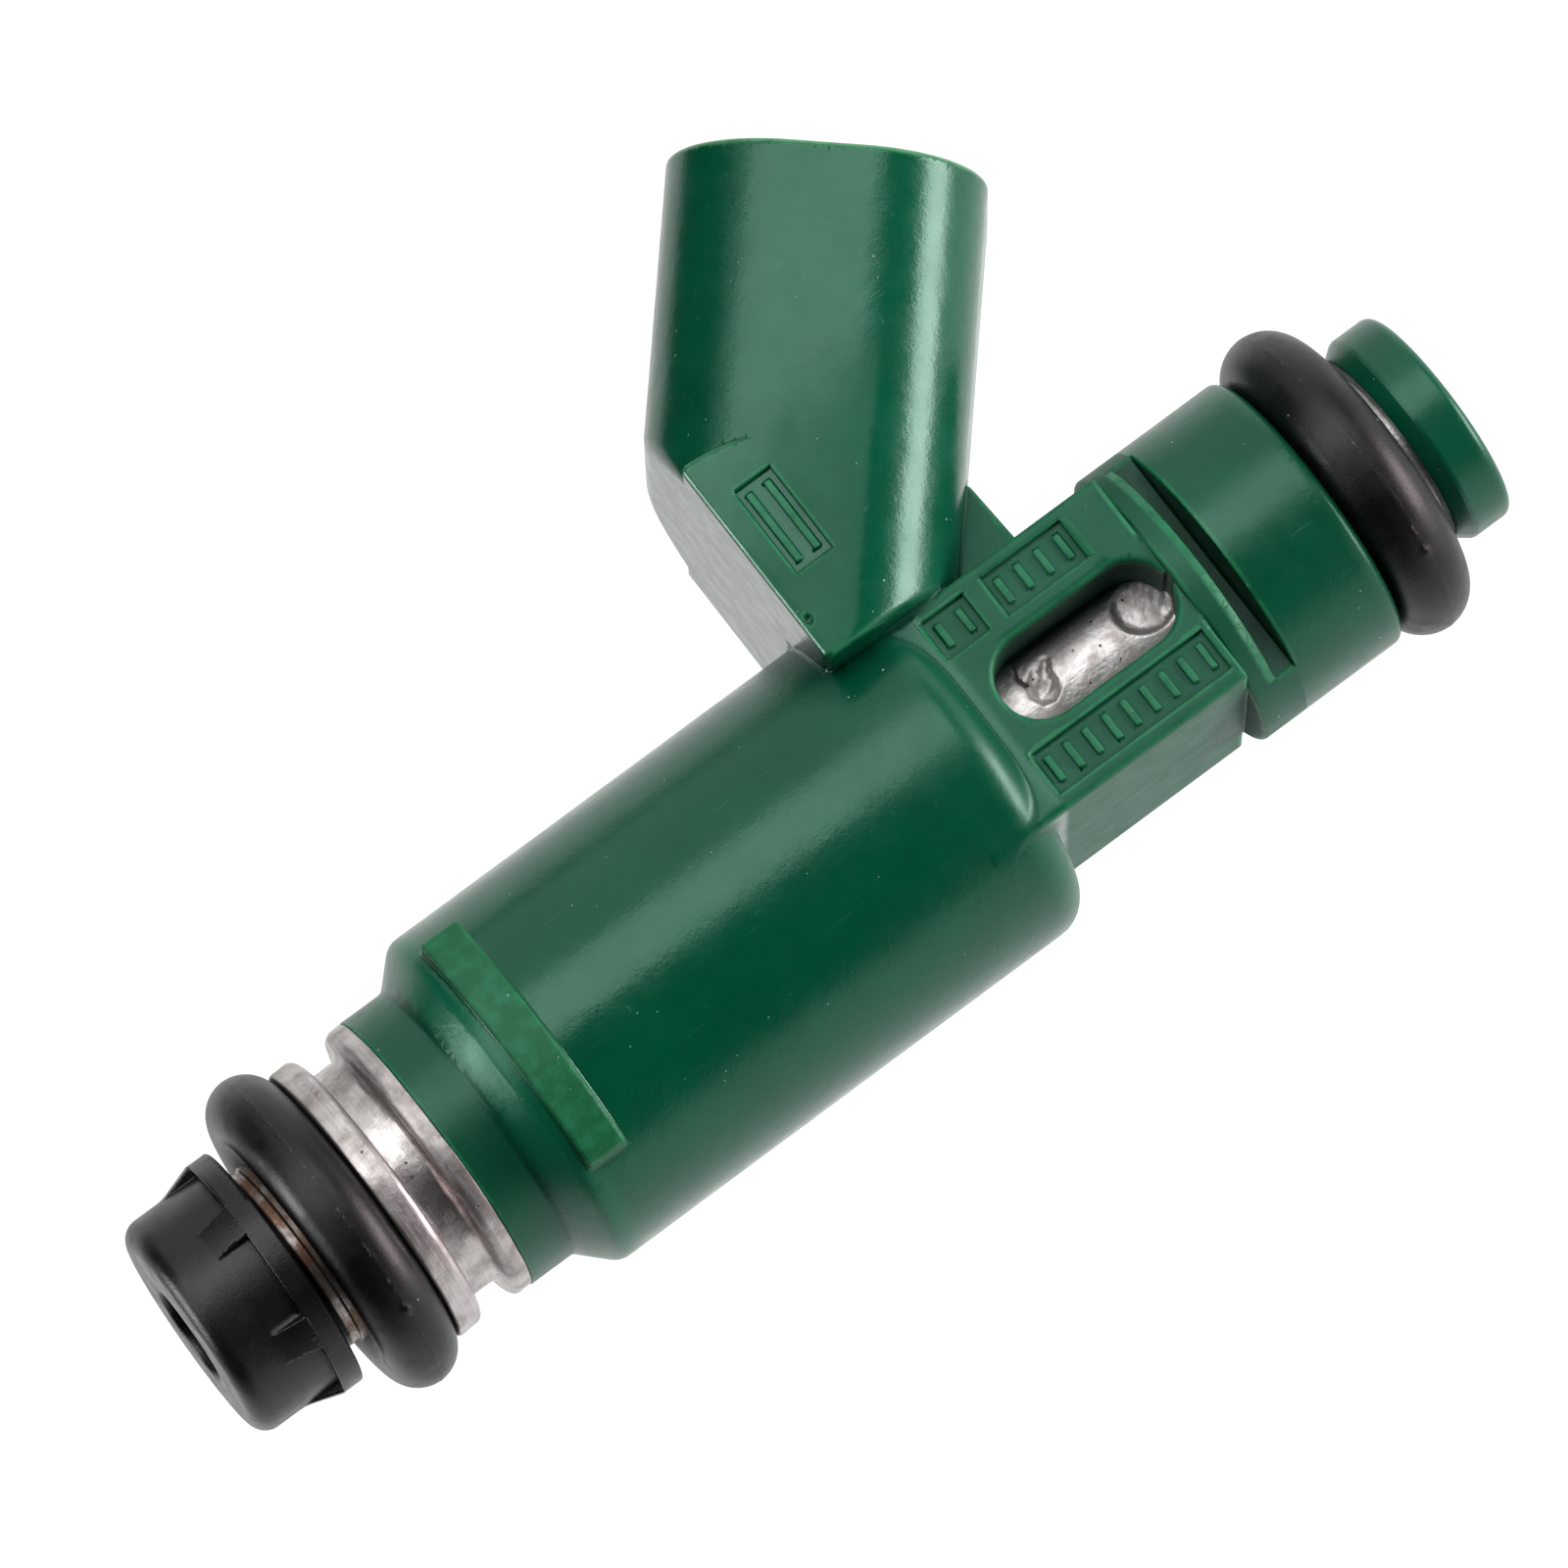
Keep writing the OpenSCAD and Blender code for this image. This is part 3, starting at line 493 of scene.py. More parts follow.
class Shader:
    """A node material with short calls to add nodes; an input may be a value or another socket."""

    def __init__(self, name):
        self.material = bpy.data.materials.new(name)
        self.material.use_nodes = True
        self.tree = self.material.node_tree
        self.bsdf = self.tree.nodes["Principled BSDF"]
        coords = self.node("ShaderNodeTexCoord")
        self.edge = self.node("ShaderNodeAttribute", attribute_name="edge").outputs["Fac"]
        scale = self.node("ShaderNodeMapping", {"Vector": coords.outputs["Object"], "Scale": (1000,) * 3})
        self.mm = scale.outputs["Vector"]
        parts = self.node("ShaderNodeSeparateXYZ", {"Vector": self.mm}).outputs
        self.x, self.y, self.z = parts["X"], parts["Y"], parts["Z"]
        self.radius = self.distance((0, 0, 0), (1, 1, 0))

    def node(self, kind, inputs=None, **settings):
        made = self.tree.nodes.new(kind)
        for key, value in settings.items():
            setattr(made, key, value)
        for key, value in (inputs or {}).items():
            self.plug(made.inputs[key], value)
        return made

    def plug(self, socket, value):
        if isinstance(value, bpy.types.NodeSocket):
            self.tree.links.new(value, socket)
        else:
            socket.default_value = value

    def stretched(self, scale):
        """Millimetre coordinates, scaled along each axis."""
        return self.node("ShaderNodeMapping", {"Vector": self.mm, "Scale": scale}).outputs["Vector"]

    def distance(self, centre, scale):
        """Distance in millimetres from a point, with each axis scaled."""
        away = self.node("ShaderNodeVectorMath", {0: self.mm, 1: centre}, operation="SUBTRACT")
        away = self.node("ShaderNodeVectorMath", {0: away.outputs[0], 1: scale}, operation="MULTIPLY")
        return self.node("ShaderNodeVectorMath", {0: away.outputs[0]}, operation="LENGTH").outputs["Value"]

    def along(self, direction, start):
        """How far a point lies along a direction, less start."""
        made = self.node("ShaderNodeVectorMath", {0: self.mm, 1: direction}, operation="DOT_PRODUCT")
        return self.math("SUBTRACT", made.outputs["Value"], start)

    def noise(self, scale, detail=4.0, roughness=0.55, vector=None):
        inputs = {"Vector": vector or self.mm, "Scale": scale, "Detail": detail, "Roughness": roughness}
        return self.node("ShaderNodeTexNoise", inputs).outputs["Fac"]

    def math(self, operation, a, b=0.0):
        return self.node("ShaderNodeMath", {0: a, 1: b}, operation=operation).outputs[0]

    def both(self, *masks):
        """The product of masks."""
        result = masks[0]
        for mask in masks[1:]:
            result = self.math("MULTIPLY", result, mask)
        return result

    def either(self, *masks):
        """The largest of masks."""
        result = masks[0]
        for mask in masks[1:]:
            result = self.math("MAXIMUM", result, mask)
        return result

    def band(self, value, low, high, out_low=0.0, out_high=1.0):
        """Maps low..high to out_low..out_high, smoothly and clamped."""
        inputs = {"Value": value, "From Min": low, "From Max": high, "To Min": out_low, "To Max": out_high}
        return self.node("ShaderNodeMapRange", inputs, interpolation_type="SMOOTHSTEP").outputs["Result"]

    def mix(self, factor, a, b):
        """Mixes two colours."""
        made = self.node("ShaderNodeMix", data_type="RGBA")
        self.plug(made.inputs["Factor"], factor)
        self.plug(made.inputs[6], a)
        self.plug(made.inputs[7], b)
        return made.outputs[2]

    def specks(self, scale, size, share):
        """Sparse round specks: one cell in every so many, about size millimetres across."""
        cells = self.node("ShaderNodeTexVoronoi", {"Vector": self.mm, "Scale": scale})
        inside = self.band(cells.outputs["Distance"], size * scale, size * scale * 0.5)
        shade = self.node("ShaderNodeSeparateColor", {"Color": cells.outputs["Color"]}).outputs["Red"]
        return self.math("MULTIPLY", inside, self.band(shade, 1 - share, 1 - share + 0.02))

    def bump(self, *layers):
        """Stacks (height, depth in millimetres) layers of bump."""
        normal = None
        for height, depth in layers:
            inputs = {"Height": height, "Distance": depth * MM, "Strength": 1.0}
            if normal:
                inputs["Normal"] = normal
            normal = self.node("ShaderNodeBump", inputs).outputs["Normal"]
        self.plug(self.bsdf.inputs["Normal"], normal)

    def finish(self, **inputs):
        for key, value in inputs.items():
            self.plug(self.bsdf.inputs[key.replace("_", " ")], value)
        return self.material


def rgb(red, green, blue):
    """A linear colour with alpha from 0 to 255 display values."""
    def linear(value):
        value /= 255
        return value / 12.92 if value <= 0.04045 else ((value + 0.055) / 1.055) ** 2.4
    return (linear(red), linear(green), linear(blue), 1.0)


SOLID_LOW, SOLID_HIGH = rgb(0, 75, 49), rgb(2, 81, 56)
THIN_LOW, THIN_HIGH = rgb(0, 72, 47), rgb(0, 77, 52)


def green_plastic():
    """Green resin: glossy on the barrel and the connector, dull on the root, block, bar and neck.

    The resin is slightly see-through, so it looks darker over the steel inside the barrel.
    """
    s = Shader("green_plastic")
    cloud = s.band(s.noise(0.3, 4, 0.6), 0.35, 0.65)
    over_steel = s.both(s.band(s.radius, 7.99, 7.93), s.band(s.z, 40.3, 39.6))
    seat = s.both(s.band(s.z, COLLAR_Z - 0.1, COLLAR_Z + 0.1), s.band(s.radius, 6.75, 6.6))
    thin = s.either(over_steel, seat)
    base = s.mix(thin, s.mix(cloud, SOLID_LOW, SOLID_HIGH), s.mix(cloud, THIN_LOW, THIN_HIGH))
    # Painted light: the cone is painted a lighter green, standing in for the light that falls on it from
    # the nozzle side.
    cone = s.both(s.band(s.z, 14.5, 15.2), s.band(s.z, 17.2, 16.0))
    base = s.mix(cone, base, rgb(4, 92, 63))

    # Lighter outer edges: partly wear, partly a painted highlight where the thin rounded edges catch light
    # and glow through.
    patchy = s.band(s.noise(1.1, 4, 0.65), 0.25, 0.6, 0.2, 1.0)
    worn_and_lit_edge = s.both(s.band(s.edge, 1.5, 4.5), patchy)
    base = s.mix(s.math("MULTIPLY", worn_and_lit_edge, 0.5), base, rgb(40, 130, 84))
    # Painted shade: inner corners and creases are darkened.
    base = s.mix(s.math("MULTIPLY", s.band(s.edge, -0.8, -3.5), 0.5), base, rgb(0, 54, 36))

    # Painted shade: the walls inside the window are painted dark green (the same mask also roughens them
    # below).
    window_middle = (0, 0, (WINDOW_LOW + WINDOW_HIGH) / 2)
    hole = s.both(s.band(s.distance(window_middle, (1, 0, 0)), 2.15, 2.0), s.band(s.y, -5.75, -5.5),
                  s.band(s.z, 40.9, 41.0), s.band(s.z, 49.6, 49.5), s.band(s.y, 0.5, 0.0))
    base = s.mix(hole, base, rgb(0, 60, 40))
    slot_top = SLOT_Z + SLOT_W
    # Painted shade: the inside of the collar's slot is painted dark.
    slot = s.both(s.band(s.z, SLOT_Z - 0.02, SLOT_Z + 0.04), s.band(s.z, slot_top + 0.02, slot_top - 0.04),
                  s.band(s.radius, COLLAR_R - 0.03, COLLAR_R - 0.15))
    base = s.mix(slot, base, rgb(0, 44, 29))

    across, lengthways = math.sin(LEAN), math.cos(LEAN)
    rim = s.along((-across, 0, lengthways), RIM_X * across + RIM_Z * lengthways)
    rim = s.both(s.band(rim, -0.32, -0.1), s.band(s.noise(0.9, 5, 0.7), 0.3, 0.6, 0.2, 1.0))
    base = s.mix(s.math("MULTIPLY", rim, 0.5), base, rgb(96, 160, 104))
    bar = s.both(s.band(s.radius, 7.93, 7.99), s.band(s.z, 19.0, 18.5))
    bar_base = s.mix(s.band(s.noise(1.4, 4, 0.6), 0.4, 0.65), rgb(0, 86, 46), rgb(18, 102, 64))
    base = s.mix(bar, base, bar_base)

    dust = s.either(s.specks(1.1, 0.055, 0.22), s.specks(2.3, 0.035, 0.12))
    base = s.mix(s.math("MULTIPLY", dust, 0.8), base, rgb(175, 205, 180))
    scratch = s.either(s.band(s.noise(1.0, 2, 0.5, s.stretched((6.0, 6.0, 0.35))), 0.7, 0.78),
                       s.band(s.noise(1.0, 2, 0.5, s.stretched((0.5, 7.0, 5.0))), 0.71, 0.78))
    base = s.mix(s.math("MULTIPLY", scratch, 0.06), base, rgb(120, 180, 145))

    root = s.both(s.band(s.distance((-3.0, 0, 44.0), (1, 0, 1)), 13.5, 9.0), s.band(s.y, -8.2, -8.35))
    web = s.both(s.band(s.distance((0, 0, 0), (0, 1, 0)), 3.15, 3.05), s.band(s.radius, 9.3, 9.1))
    block = s.either(s.band(s.distance((0, 0, 0), (1, 0, 0)), 5.5, 5.25), web)
    block = s.both(block, s.band(s.z, 40.2, 40.6), s.band(s.z, 49.7, 49.5))
    lip = s.both(seat, s.band(s.z, slot_top, slot_top - 0.1, 0.0, 0.9))
    dull = s.either(
        root, block, bar, s.math("MULTIPLY", seat, 0.32), lip, s.math("MULTIPLY", hole, 1.5),
        s.band(s.z, 17.3, 16.1, 0.0, 0.32), s.band(s.z, 15.0, 14.3, 0.0, 0.55),
        s.both(over_steel, s.band(s.z, 29.0, 40.0, 0.0, 0.25)),
        s.both(over_steel, s.band(s.z, 37.5, 39.5, 0.0, 0.5)),
    )
    uneven = s.band(s.noise(0.8, 5), 0.3, 0.7, 0.0, 0.07)
    rough = s.math("ADD", s.math("ADD", uneven, 0.19), s.math("MULTIPLY", dull, 0.3))
    rough = s.math("ADD", rough, s.math("MULTIPLY", scratch, 0.05))
    seam = s.both(s.band(s.math("ABSOLUTE", s.y), 0.09, 0.03), s.band(s.z, 40.0, 40.2))
    s.bump((s.noise(7.0, 3), 0.006), (s.noise(1.3, 3), 0.014), (dust, 0.02), (seam, 0.04))
    return s.finish(Base_Color=base, Roughness=rough, IOR=1.5, Specular_Tint=(0.59, 1.0, 0.81, 1.0))


def black_cap_plastic():
    """Satin black moulding with faint grain and a little dust."""
    s = Shader("black_cap_plastic")
    dust = s.specks(1.0, 0.05, 0.1)
    base = s.mix(s.noise(0.6, 4), rgb(17, 17, 18), rgb(28, 27, 27))
    base = s.mix(s.math("MULTIPLY", dust, 0.7), base, rgb(200, 198, 185))
    s.bump((s.noise(9.0, 4), 0.012), (dust, 0.02))
    return s.finish(Base_Color=base, Roughness=s.band(s.noise(1.0, 5), 0.3, 0.7, 0.3, 0.42), IOR=1.4)


def seal_rubber():
    """Black rubber: satin, with fine dust that gathers in streaks."""
    s = Shader("seal_rubber")
    dust = s.specks(1.3, 0.05, 0.28)
    film = s.band(s.noise(0.5, 5, 0.6), 0.45, 0.7)
    base = s.mix(s.math("MULTIPLY", film, 0.35), rgb(13, 13, 15), rgb(32, 31, 33))
    base = s.mix(s.math("MULTIPLY", dust, 0.8), base, rgb(190, 185, 175))
    seam = s.math("MULTIPLY", s.band(s.edge, 0.3, 0.9), s.band(s.noise(3.2, 4, 0.7), 0.53, 0.66, 0.0, 0.7))
    base = s.mix(seam, base, rgb(84, 80, 76))
    s.bump((s.noise(8.0, 3), 0.008), (s.noise(1.2, 3), 0.012), (dust, 0.02), (seam, 0.01))
    return s.finish(Base_Color=base, Roughness=s.band(film, 0.0, 1.0, 0.38, 0.48), IOR=1.38)


def turned_steel():
    """Turned metal: rings from the tool, small dents and pits, brown fuel stain near the nozzle, and
    painted shade in the crevice next to the cap.
    """
    s = Shader("turned_steel")
    rings = s.noise(1.0, 4, 0.6, s.stretched((0.25, 0.25, 16.0)))
    blotch = s.noise(0.7, 5, 0.6)
    pits = s.specks(1.6, 0.07, 0.14)
    base = s.mix(s.band(blotch, 0.35, 0.7), rgb(200, 195, 193), rgb(156, 150, 148))
    base = s.mix(s.math("MULTIPLY", s.band(rings, 0.35, 0.65), 0.3), base, rgb(138, 133, 131))
    grime = s.math("MULTIPLY", s.band(s.noise(1.7, 5, 0.7), 0.56, 0.7), s.band(s.noise(0.35, 2), 0.4, 0.6))
    base = s.mix(s.math("MULTIPLY", grime, 0.6), base, rgb(104, 84, 66))
    base = s.mix(s.math("MULTIPLY", pits, 0.8), base, rgb(60, 48, 40))
    stain = s.math("MULTIPLY", s.band(s.z, 6.6, 5.6), s.band(s.noise(0.9, 4, 0.6), 0.38, 0.62))
    base = s.mix(s.math("MULTIPLY", stain, 0.8), base, rgb(122, 80, 44))
    # Painted shade: a near-black band at the foot of the tube, in the crevice under the cap's rim.
    base = s.mix(s.band(s.z, 5.3, 5.15), base, rgb(16, 13, 12))
    scuffed = s.math("MULTIPLY", s.band(s.radius, 6.1, 6.35), 0.1)
    rough = s.math("ADD", s.band(blotch, 0.3, 0.7, 0.32, 0.44), s.math("MULTIPLY", stain, 0.15))
    rough = s.math("ADD", rough, scuffed)
    s.bump((rings, 0.012), (s.noise(2.2, 4), 0.03), (s.math("SUBTRACT", 1.0, pits), 0.04))
    return s.finish(Base_Color=base, Metallic=1.0, Roughness=rough)


def tube_steel():
    """Drawn tube: smeared along the axis, scuffed, with rust specks round the stake marks."""
    s = Shader("tube_steel")
    drawn = s.noise(1.0, 4, 0.6, s.stretched((7.0, 7.0, 0.5)))
    blotch = s.noise(1.1, 5, 0.65)
    pits = s.specks(2.0, 0.07, 0.2)
    base = s.mix(s.band(blotch, 0.35, 0.7), rgb(240, 236, 234), rgb(204, 196, 192))
    base = s.mix(s.math("MULTIPLY", pits, 0.8), base, rgb(84, 52, 36))
    s.bump((drawn, 0.012), (s.noise(2.6, 5, 0.65), 0.045), (s.math("SUBTRACT", 1.0, pits), 0.03))
    return s.finish(Base_Color=base, Metallic=1.0, Roughness=s.band(blotch, 0.3, 0.7, 0.44, 0.6))


def plain_metal(name, light, dark, grain, roughness):
    """A metal of the inner pieces, with turning marks of the given grain."""
    s = Shader(name)
    marks = s.noise(1.0, 4, 0.6, s.stretched(grain))
    cloud = s.noise(0.9, 4)
    s.bump((marks, 0.008), (cloud, 0.01))
    rough = s.band(cloud, 0.3, 0.7, roughness - 0.06, roughness + 0.08)
    return s.finish(Base_Color=s.mix(s.band(marks, 0.3, 0.7), light, dark), Metallic=1.0, Roughness=rough)


def plain_plastic(name, light, dark, roughness):
    """A plastic of the inner pieces, faintly clouded."""
    s = Shader(name)
    cloud = s.noise(1.2, 4)
    s.bump((s.noise(8.0, 3), 0.01))
    rough = s.band(cloud, 0.3, 0.7, roughness - 0.05, roughness + 0.08)
    return s.finish(Base_Color=s.mix(s.band(cloud, 0.35, 0.65), light, dark), Roughness=rough, IOR=1.5)


def copper_winding():
    """Enamelled wire, seen as fine turns along the axis."""
    s = Shader("copper_winding")
    turns = s.math("SINE", s.math("MULTIPLY", s.z, 2 * math.pi / 0.18))
    cloud = s.noise(0.8, 4)
    s.bump((s.band(turns, -1, 1), 0.05))
    base = s.mix(s.band(cloud, 0.3, 0.7), rgb(196, 112, 62), rgb(150, 74, 40))
    return s.finish(Base_Color=base, Metallic=1.0, Roughness=s.band(turns, -1, 1, 0.45, 0.25))


def filter_screen():
    """Fine woven screen: two sets of threads round a small tube."""
    s = Shader("filter_screen")
    along = s.math("SINE", s.math("MULTIPLY", s.z, 2 * math.pi / 0.12))
    angle = s.math("ARCTAN2", s.y, s.x)
    round_it = s.math("SINE", s.math("MULTIPLY", angle, 90))
    weave = s.band(s.math("MAXIMUM", along, round_it), -1, 1)
    s.bump((weave, 0.03))
    return s.finish(Base_Color=s.mix(weave, rgb(70, 72, 72), rgb(190, 192, 190)), Metallic=1.0,
                    Roughness=s.band(weave, 0, 1, 0.55, 0.35))


green = green_plastic()
rubber = seal_rubber()

# ---------------------------------------------------------------- CAD nodes that keep their shape

ROUND_MARKS, LONG_MARKS = (0.3, 0.3, 14.0), (8.0, 8.0, 0.4)
ground = plain_metal("ground_steel", rgb(206, 206, 208), rgb(150, 150, 154), ROUND_MARKS, 0.26)
magnetic = plain_metal("magnetic_steel", rgb(150, 150, 152), rgb(110, 110, 113), ROUND_MARKS, 0.38)
bright = plain_metal("bright_steel", rgb(224, 221, 214), rgb(184, 181, 174), ROUND_MARKS, 0.22)
spring = plain_metal("spring_steel", rgb(186, 186, 190), rgb(120, 120, 126), LONG_MARKS, 0.3)
brass = plain_metal("brass_tube", rgb(214, 184, 112), rgb(170, 138, 74), LONG_MARKS, 0.28)
tinned = plain_metal("tinned_contact", rgb(222, 212, 184), rgb(186, 172, 138), LONG_MARKS, 0.27)
bobbin = plain_plastic("bobbin_plastic", rgb(58, 54, 50), rgb(38, 35, 33), 0.45)
nylon = plain_plastic("filter_nylon", rgb(226, 222, 206), rgb(204, 198, 178), 0.4)

KEPT = {
    "orifice_plate": bright, "valve_seat": ground, "needle": ground, "armature": magnetic,
    "lift_stop": ground, "adjusting_tube": brass,
    "nonmagnetic_ring": bright, "coil_yoke": magnetic, "yoke_washer": magnetic, "bobbin": bobbin,
    "coil_winding": copper_winding(), "lower_coil_seal": rubber, "upper_coil_seal": rubber,
    "terminal_left": tinned, "terminal_right": tinned, "filter_frame": nylon,
    "filter_mesh": filter_screen(),
}
for node_name, material in KEPT.items():
    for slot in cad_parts[node_name].material_slots:
        slot.material = material

# ---------------------------------------------------------------- pieces

mould = mesh_from_sdf("overmould_piece", overmould_sdf, mould_low, mould_high, 0.1, 0.02)
piece("green_moulding", mould, green, "overmould")

cap = mesh_from_sdf("cap_piece", cap_sdf, cap_low, cap_high, 0.07, 0.01)
piece("black_nozzle_cap", cap, black_cap_plastic(), "nozzle_cap")

tube = mesh_from_sdf("tube_piece", tube_sdf, tube_low, tube_high, 0.09, 0.01)
piece("fuel_tube", tube, tube_steel(), "core_tube")


def body_outline():
    """Outline of the turned valve body, from the bore's lower edge round the outside."""
    return rounded([
        (BODY_BORE_R, CAP_WALL, 0), (TIP_R, CAP_WALL, 0.15), (TIP_R, 5.54, 0.05), (SEAT_R, 5.64, 0.05),
        (SEAT_R, FLANGE_1_Z, 0.1), (FLANGE_R, FLANGE_1_Z, 0.15), (FLANGE_R, GROOVE_Z, 0.38),
        (GROOVE_R, GROOVE_Z, 0.1), (GROOVE_R, FLANGE_2_Z, 0.4), (FLANGE_R, FLANGE_2_Z, 0.4),
        (FLANGE_R, NECK_Z, 0.06), (SPIGOT_R, NECK_Z, 0), (SPIGOT_R, SPIGOT_TOP, 0.1),
        (GUIDE_R, SPIGOT_TOP, 0), (GUIDE_R, body_high.z, 0.1), (CORE_R, body_high.z, 0.1),
        (CORE_R, BODY_STEP_TOP, 0), (BODY_STEP_R, BODY_STEP_TOP, 0),
        (BODY_STEP_R, BODY_STEP_LOW, 0), (BODY_BORE_R, BODY_STEP_LOW, 0),
    ])


def dented(r, z, angle):
    """Slight unevenness of the flanges and of the groove's floor."""
    outside = np.clip((r - 5.2) / 0.2, 0, 1)
    uneven = 0.02 * np.sin(7 * angle + 2 * z) + 0.015 * np.sin(19 * angle + 1.7) * np.sin(5 * z)
    return r - outside * (0.03 + uneven), z


body = lathe("body_piece", body_outline(), 256, dented)
piece("turned_body", body, turned_steel(), "valve_body")


def o_ring(low, high, name, node):
    """A ring with a parting line round its outside and slight unevenness."""
    cord_r = (high.z - low.z) / 2
    middle_r = high.x - cord_r
    centre_z = (high.z + low.z) / 2
    count = 96
    outline = [(middle_r + cord_r * math.cos(a), centre_z + cord_r * math.sin(a))
               for a in (2 * math.pi * k / count for k in range(count))]

    def flash(r, z, angle):
        side = np.arctan2(z - centre_z, r - middle_r)
        height = side * cord_r
        line = np.exp(-((height / 0.07) ** 2)) * (0.6 + 0.4 * np.sin(23 * angle) * np.sin(7 * angle))
        nub = 0.1 * np.exp(-((height / 0.16) ** 2) - ((angle - NUB_TURN) * middle_r / 0.16) ** 2)
        size = cord_r - 0.04 + 0.035 * line + nub + 0.008 * np.sin(3 * angle + 1) * np.cos(side)
        return middle_r + size * np.cos(side), centre_z + size * np.sin(side)

    def seam(number, angle):
        side = (number + count / 2) % count - count / 2
        return np.exp(-((side * 2 * math.pi / count * cord_r / 0.06) ** 2))

    piece(name, lathe(name + "_mesh", outline, 320, flash, seam), rubber, node)


o_ring(lower_low, lower_high, "manifold_ring", "lower_o_ring")
o_ring(upper_low, upper_high, "rail_ring", "upper_o_ring")

disc_outline = rounded([
    (INLET_R, disc_low.z, 0.05), (DISC_R - 0.5, disc_low.z, 0.15),
    (DISC_R - 0.05, disc_low.z + DISC_STEP_H, 0.06), (DISC_R, disc_low.z + DISC_STEP_H + 0.15, 0.1),
    (DISC_R, disc_high.z, 0.42), (tube_high.x, disc_high.z, 0.12),
    (tube_high.x, tube_high.z - 0.7, 0), (INLET_R, tube_high.z - 0.7, 0),
])
retainer = lathe("retainer_piece", disc_outline, 256, marks=lambda number, _: 0.0 * number)
piece("green_retainer", retainer, green, "inlet_retainer")


def closing_spring(node):
    """The CAD spring as a piece of its own, in spring steel."""
    obj = bpy.data.objects.new("closing_spring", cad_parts[node].data.copy())
    bpy.context.scene.collection.objects.link(obj)
    obj.data.materials.clear()
    obj.data.materials.append(spring)
    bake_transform(obj)
    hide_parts(node)


closing_spring("return_spring")

# ---------------------------------------------------------------- camera, lights and floor

ROLL, TILT, TURN = math.radians(36.4), math.radians(7.7), math.radians(11.0)
DISTANCE = 650.0
along = Vector((math.sin(TURN) * math.sin(TILT), -math.cos(TURN) * math.sin(TILT), math.cos(TILT)))
aside = Vector((-math.cos(TURN), -math.sin(TURN), 0))
towards = Vector((math.sin(TURN) * math.cos(TILT), -math.cos(TURN) * math.cos(TILT), -math.sin(TILT)))
right = math.cos(ROLL) * along - math.sin(ROLL) * aside
up = math.sin(ROLL) * along + math.cos(ROLL) * aside
aim = Vector((0, 0, 32.73)) + 3.66 * aside

camera_data = bpy.data.cameras.new("camera")
camera_data.sensor_width = 36
camera_data.lens = 370
camera_data.clip_start = 0.01
camera = bpy.data.objects.new("camera", camera_data)
bpy.context.scene.collection.objects.link(camera)
pose = Matrix((right, up, towards)).transposed().to_4x4()
pose.translation = (aim + DISTANCE * towards) * MM
camera.matrix_world = pose
bpy.context.scene.camera = camera


KEY, TOP, SIDE, END = 3.5, 1.0, 13.0, 13.0
SIDE_COLOUR = (1.0, 0.84, 0.88)


def soft_light(name, direction, long_side, distance, size, radiance):
    """A rectangular soft light that faces the object; long_side is the way its first size runs."""
    data = bpy.data.lights.new(name, "AREA")
    data.shape = "RECTANGLE"
    data.size, data.size_y = size
    data.energy = radiance * math.pi * size[0] * size[1]
    light = bpy.data.objects.new(name, data)
    bpy.context.scene.collection.objects.link(light)
    back = direction.normalized()
    first = (long_side - long_side.dot(back) * back).normalized()
    place = Matrix((first, back.cross(first), back)).transposed().to_4x4()
    place.translation = aim * MM + back * distance
    light.matrix_world = place
    return light


def between(angle):
    """A direction across the object, turned from the camera towards the connector side."""
    return math.cos(angle) * towards + math.sin(angle) * aside


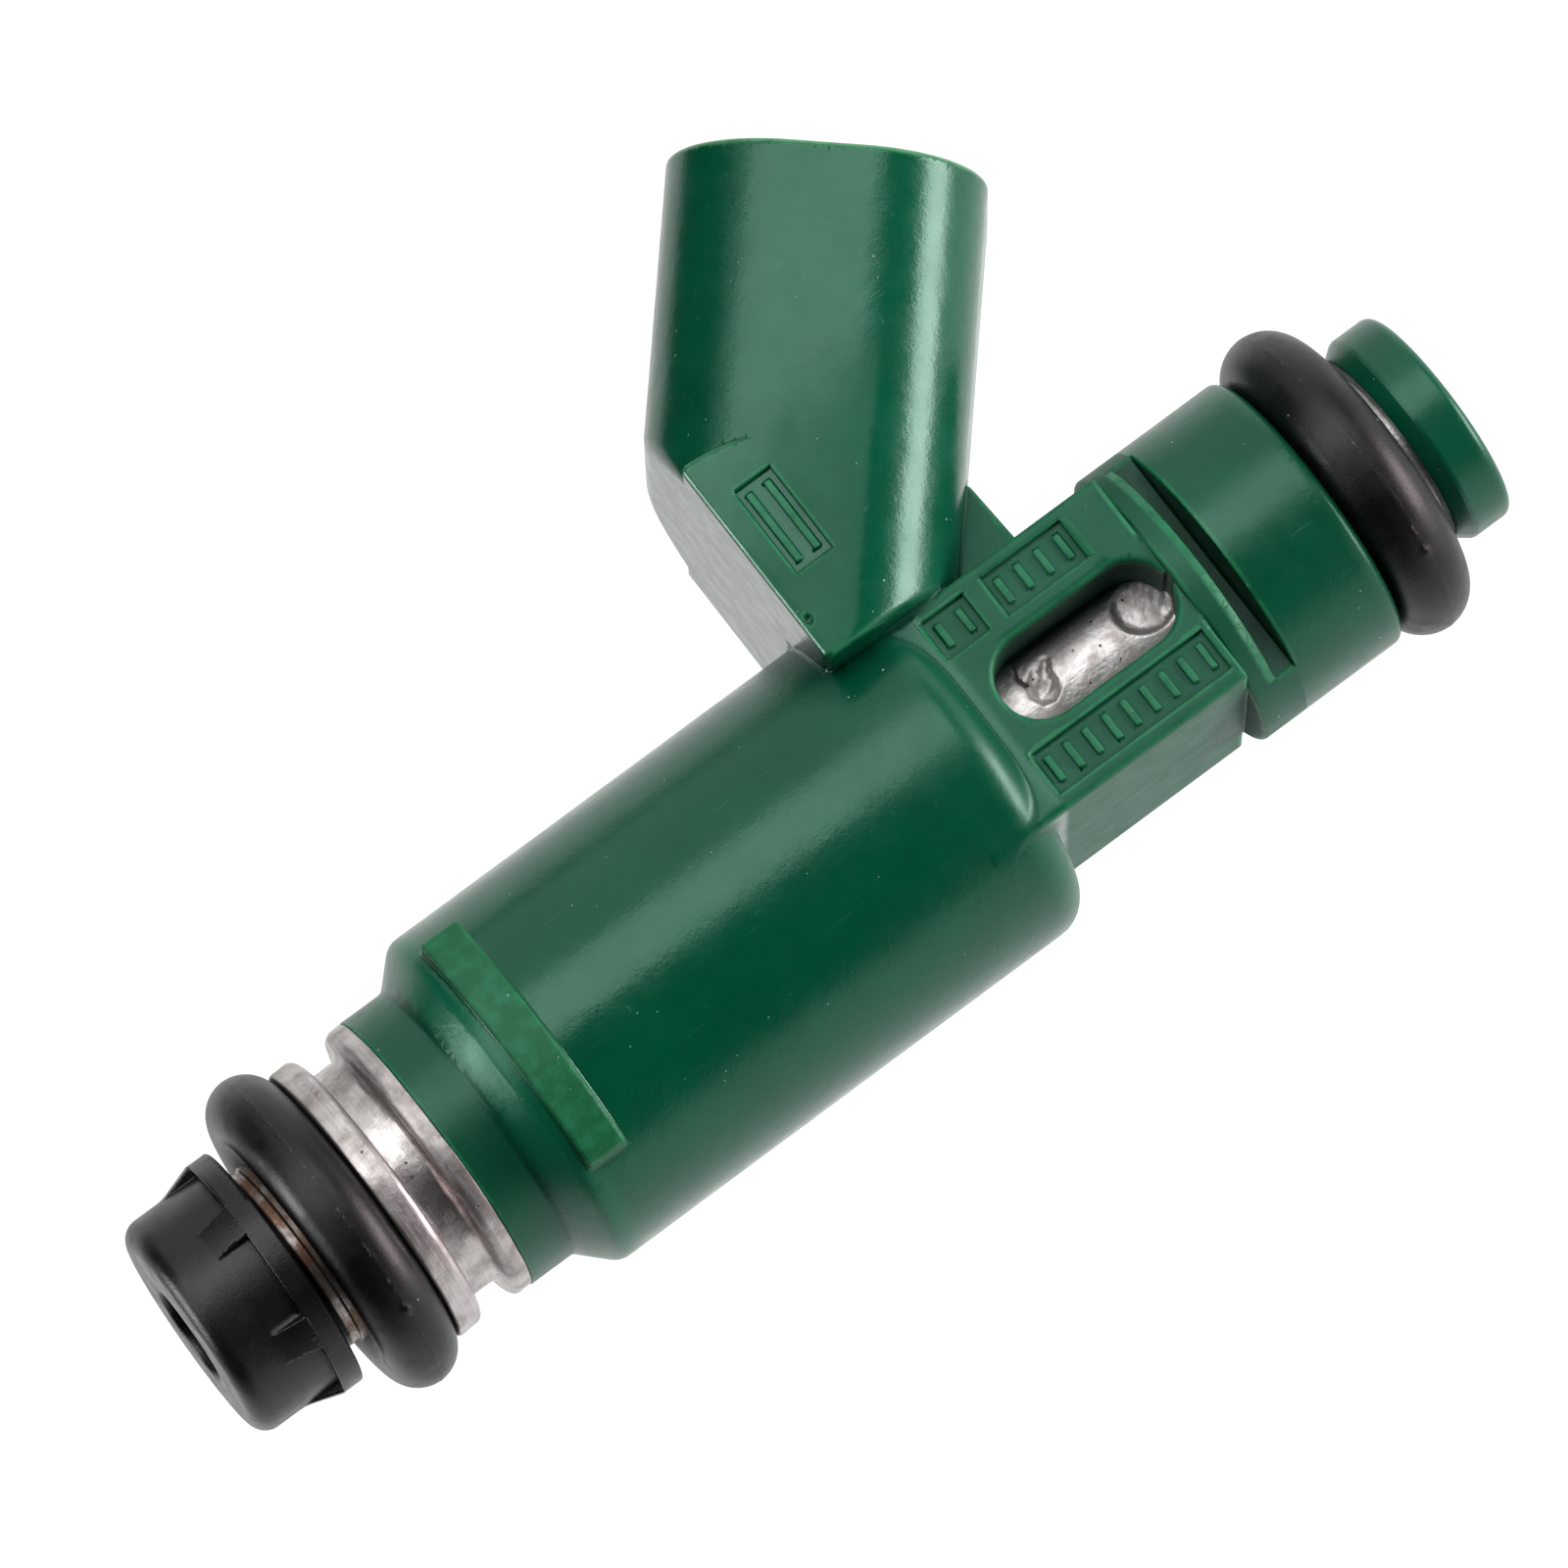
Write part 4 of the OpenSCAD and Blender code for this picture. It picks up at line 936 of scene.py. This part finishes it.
key_shift = math.radians(8.2)
key_way = math.cos(key_shift) * between(math.radians(30.5)) - math.sin(key_shift) * along
soft_light("key", key_way, along, 0.62, (1.47, 0.39), KEY)
top_way = math.cos(math.radians(12)) * between(math.radians(75)) + math.sin(math.radians(12)) * along
soft_light("top", top_way, along, 0.62, (0.72, 0.58), TOP)
soft_light("end", 0.2 * aside - 0.97 * along, aside, 0.9, (0.46, 0.46), END)
side_way = 0.925 * right + 0.305 * up + 0.225 * towards
side = soft_light("side", side_way, up, 0.9, (0.57, 0.36), SIDE)
side.data.color = SIDE_COLOUR

world = bpy.data.worlds.new("tent")
bpy.context.scene.world = world
world.use_nodes = True
tree = world.node_tree
background = tree.nodes["Background"]
coords = tree.nodes.new("ShaderNodeTexCoord")
facing = tree.nodes.new("ShaderNodeVectorMath")
facing.operation = "DOT_PRODUCT"
facing.inputs[1].default_value = 0.866 * towards - 0.5 * right
tree.links.new(coords.outputs["Generated"], facing.inputs[0])
fade = tree.nodes.new("ShaderNodeMapRange")
fade.interpolation_type = "SMOOTHSTEP"
fade.inputs["From Min"].default_value = 0.1
fade.inputs["From Max"].default_value = -0.12
fade.inputs["To Min"].default_value = 0.03
fade.inputs["To Max"].default_value = 1.12
tree.links.new(facing.outputs["Value"], fade.inputs["Value"])
path = tree.nodes.new("ShaderNodeLightPath")
strength = tree.nodes.new("ShaderNodeMath")
strength.operation = "MAXIMUM"
tree.links.new(fade.outputs["Result"], strength.inputs[0])
tree.links.new(path.outputs["Is Camera Ray"], strength.inputs[1])
background.inputs["Color"].default_value = (1, 1, 1, 1)
tree.links.new(strength.outputs[0], background.inputs["Strength"])

FLOOR_Z, FLOOR_HALF = -0.15, 3.0
FLOOR_SIGNS = ((-1, -1), (1, -1), (1, 1), (-1, 1))
floor_mesh = bpy.data.meshes.new("floor_mesh")
floor_corners = [(sx * FLOOR_HALF, sy * FLOOR_HALF, FLOOR_Z) for sx, sy in FLOOR_SIGNS]
floor_mesh.from_pydata(floor_corners, [], [(0, 1, 2, 3)])
floor = bpy.data.objects.new("floor", floor_mesh)
bpy.context.scene.collection.objects.link(floor)
pale = Shader("pale_floor")
floor_mesh.materials.append(pale.finish(Base_Color=(0.82, 0.82, 0.82, 1), Roughness=0.6))
floor.visible_diffuse = floor.visible_glossy = False

bpy.context.scene.view_settings.view_transform = "Standard"
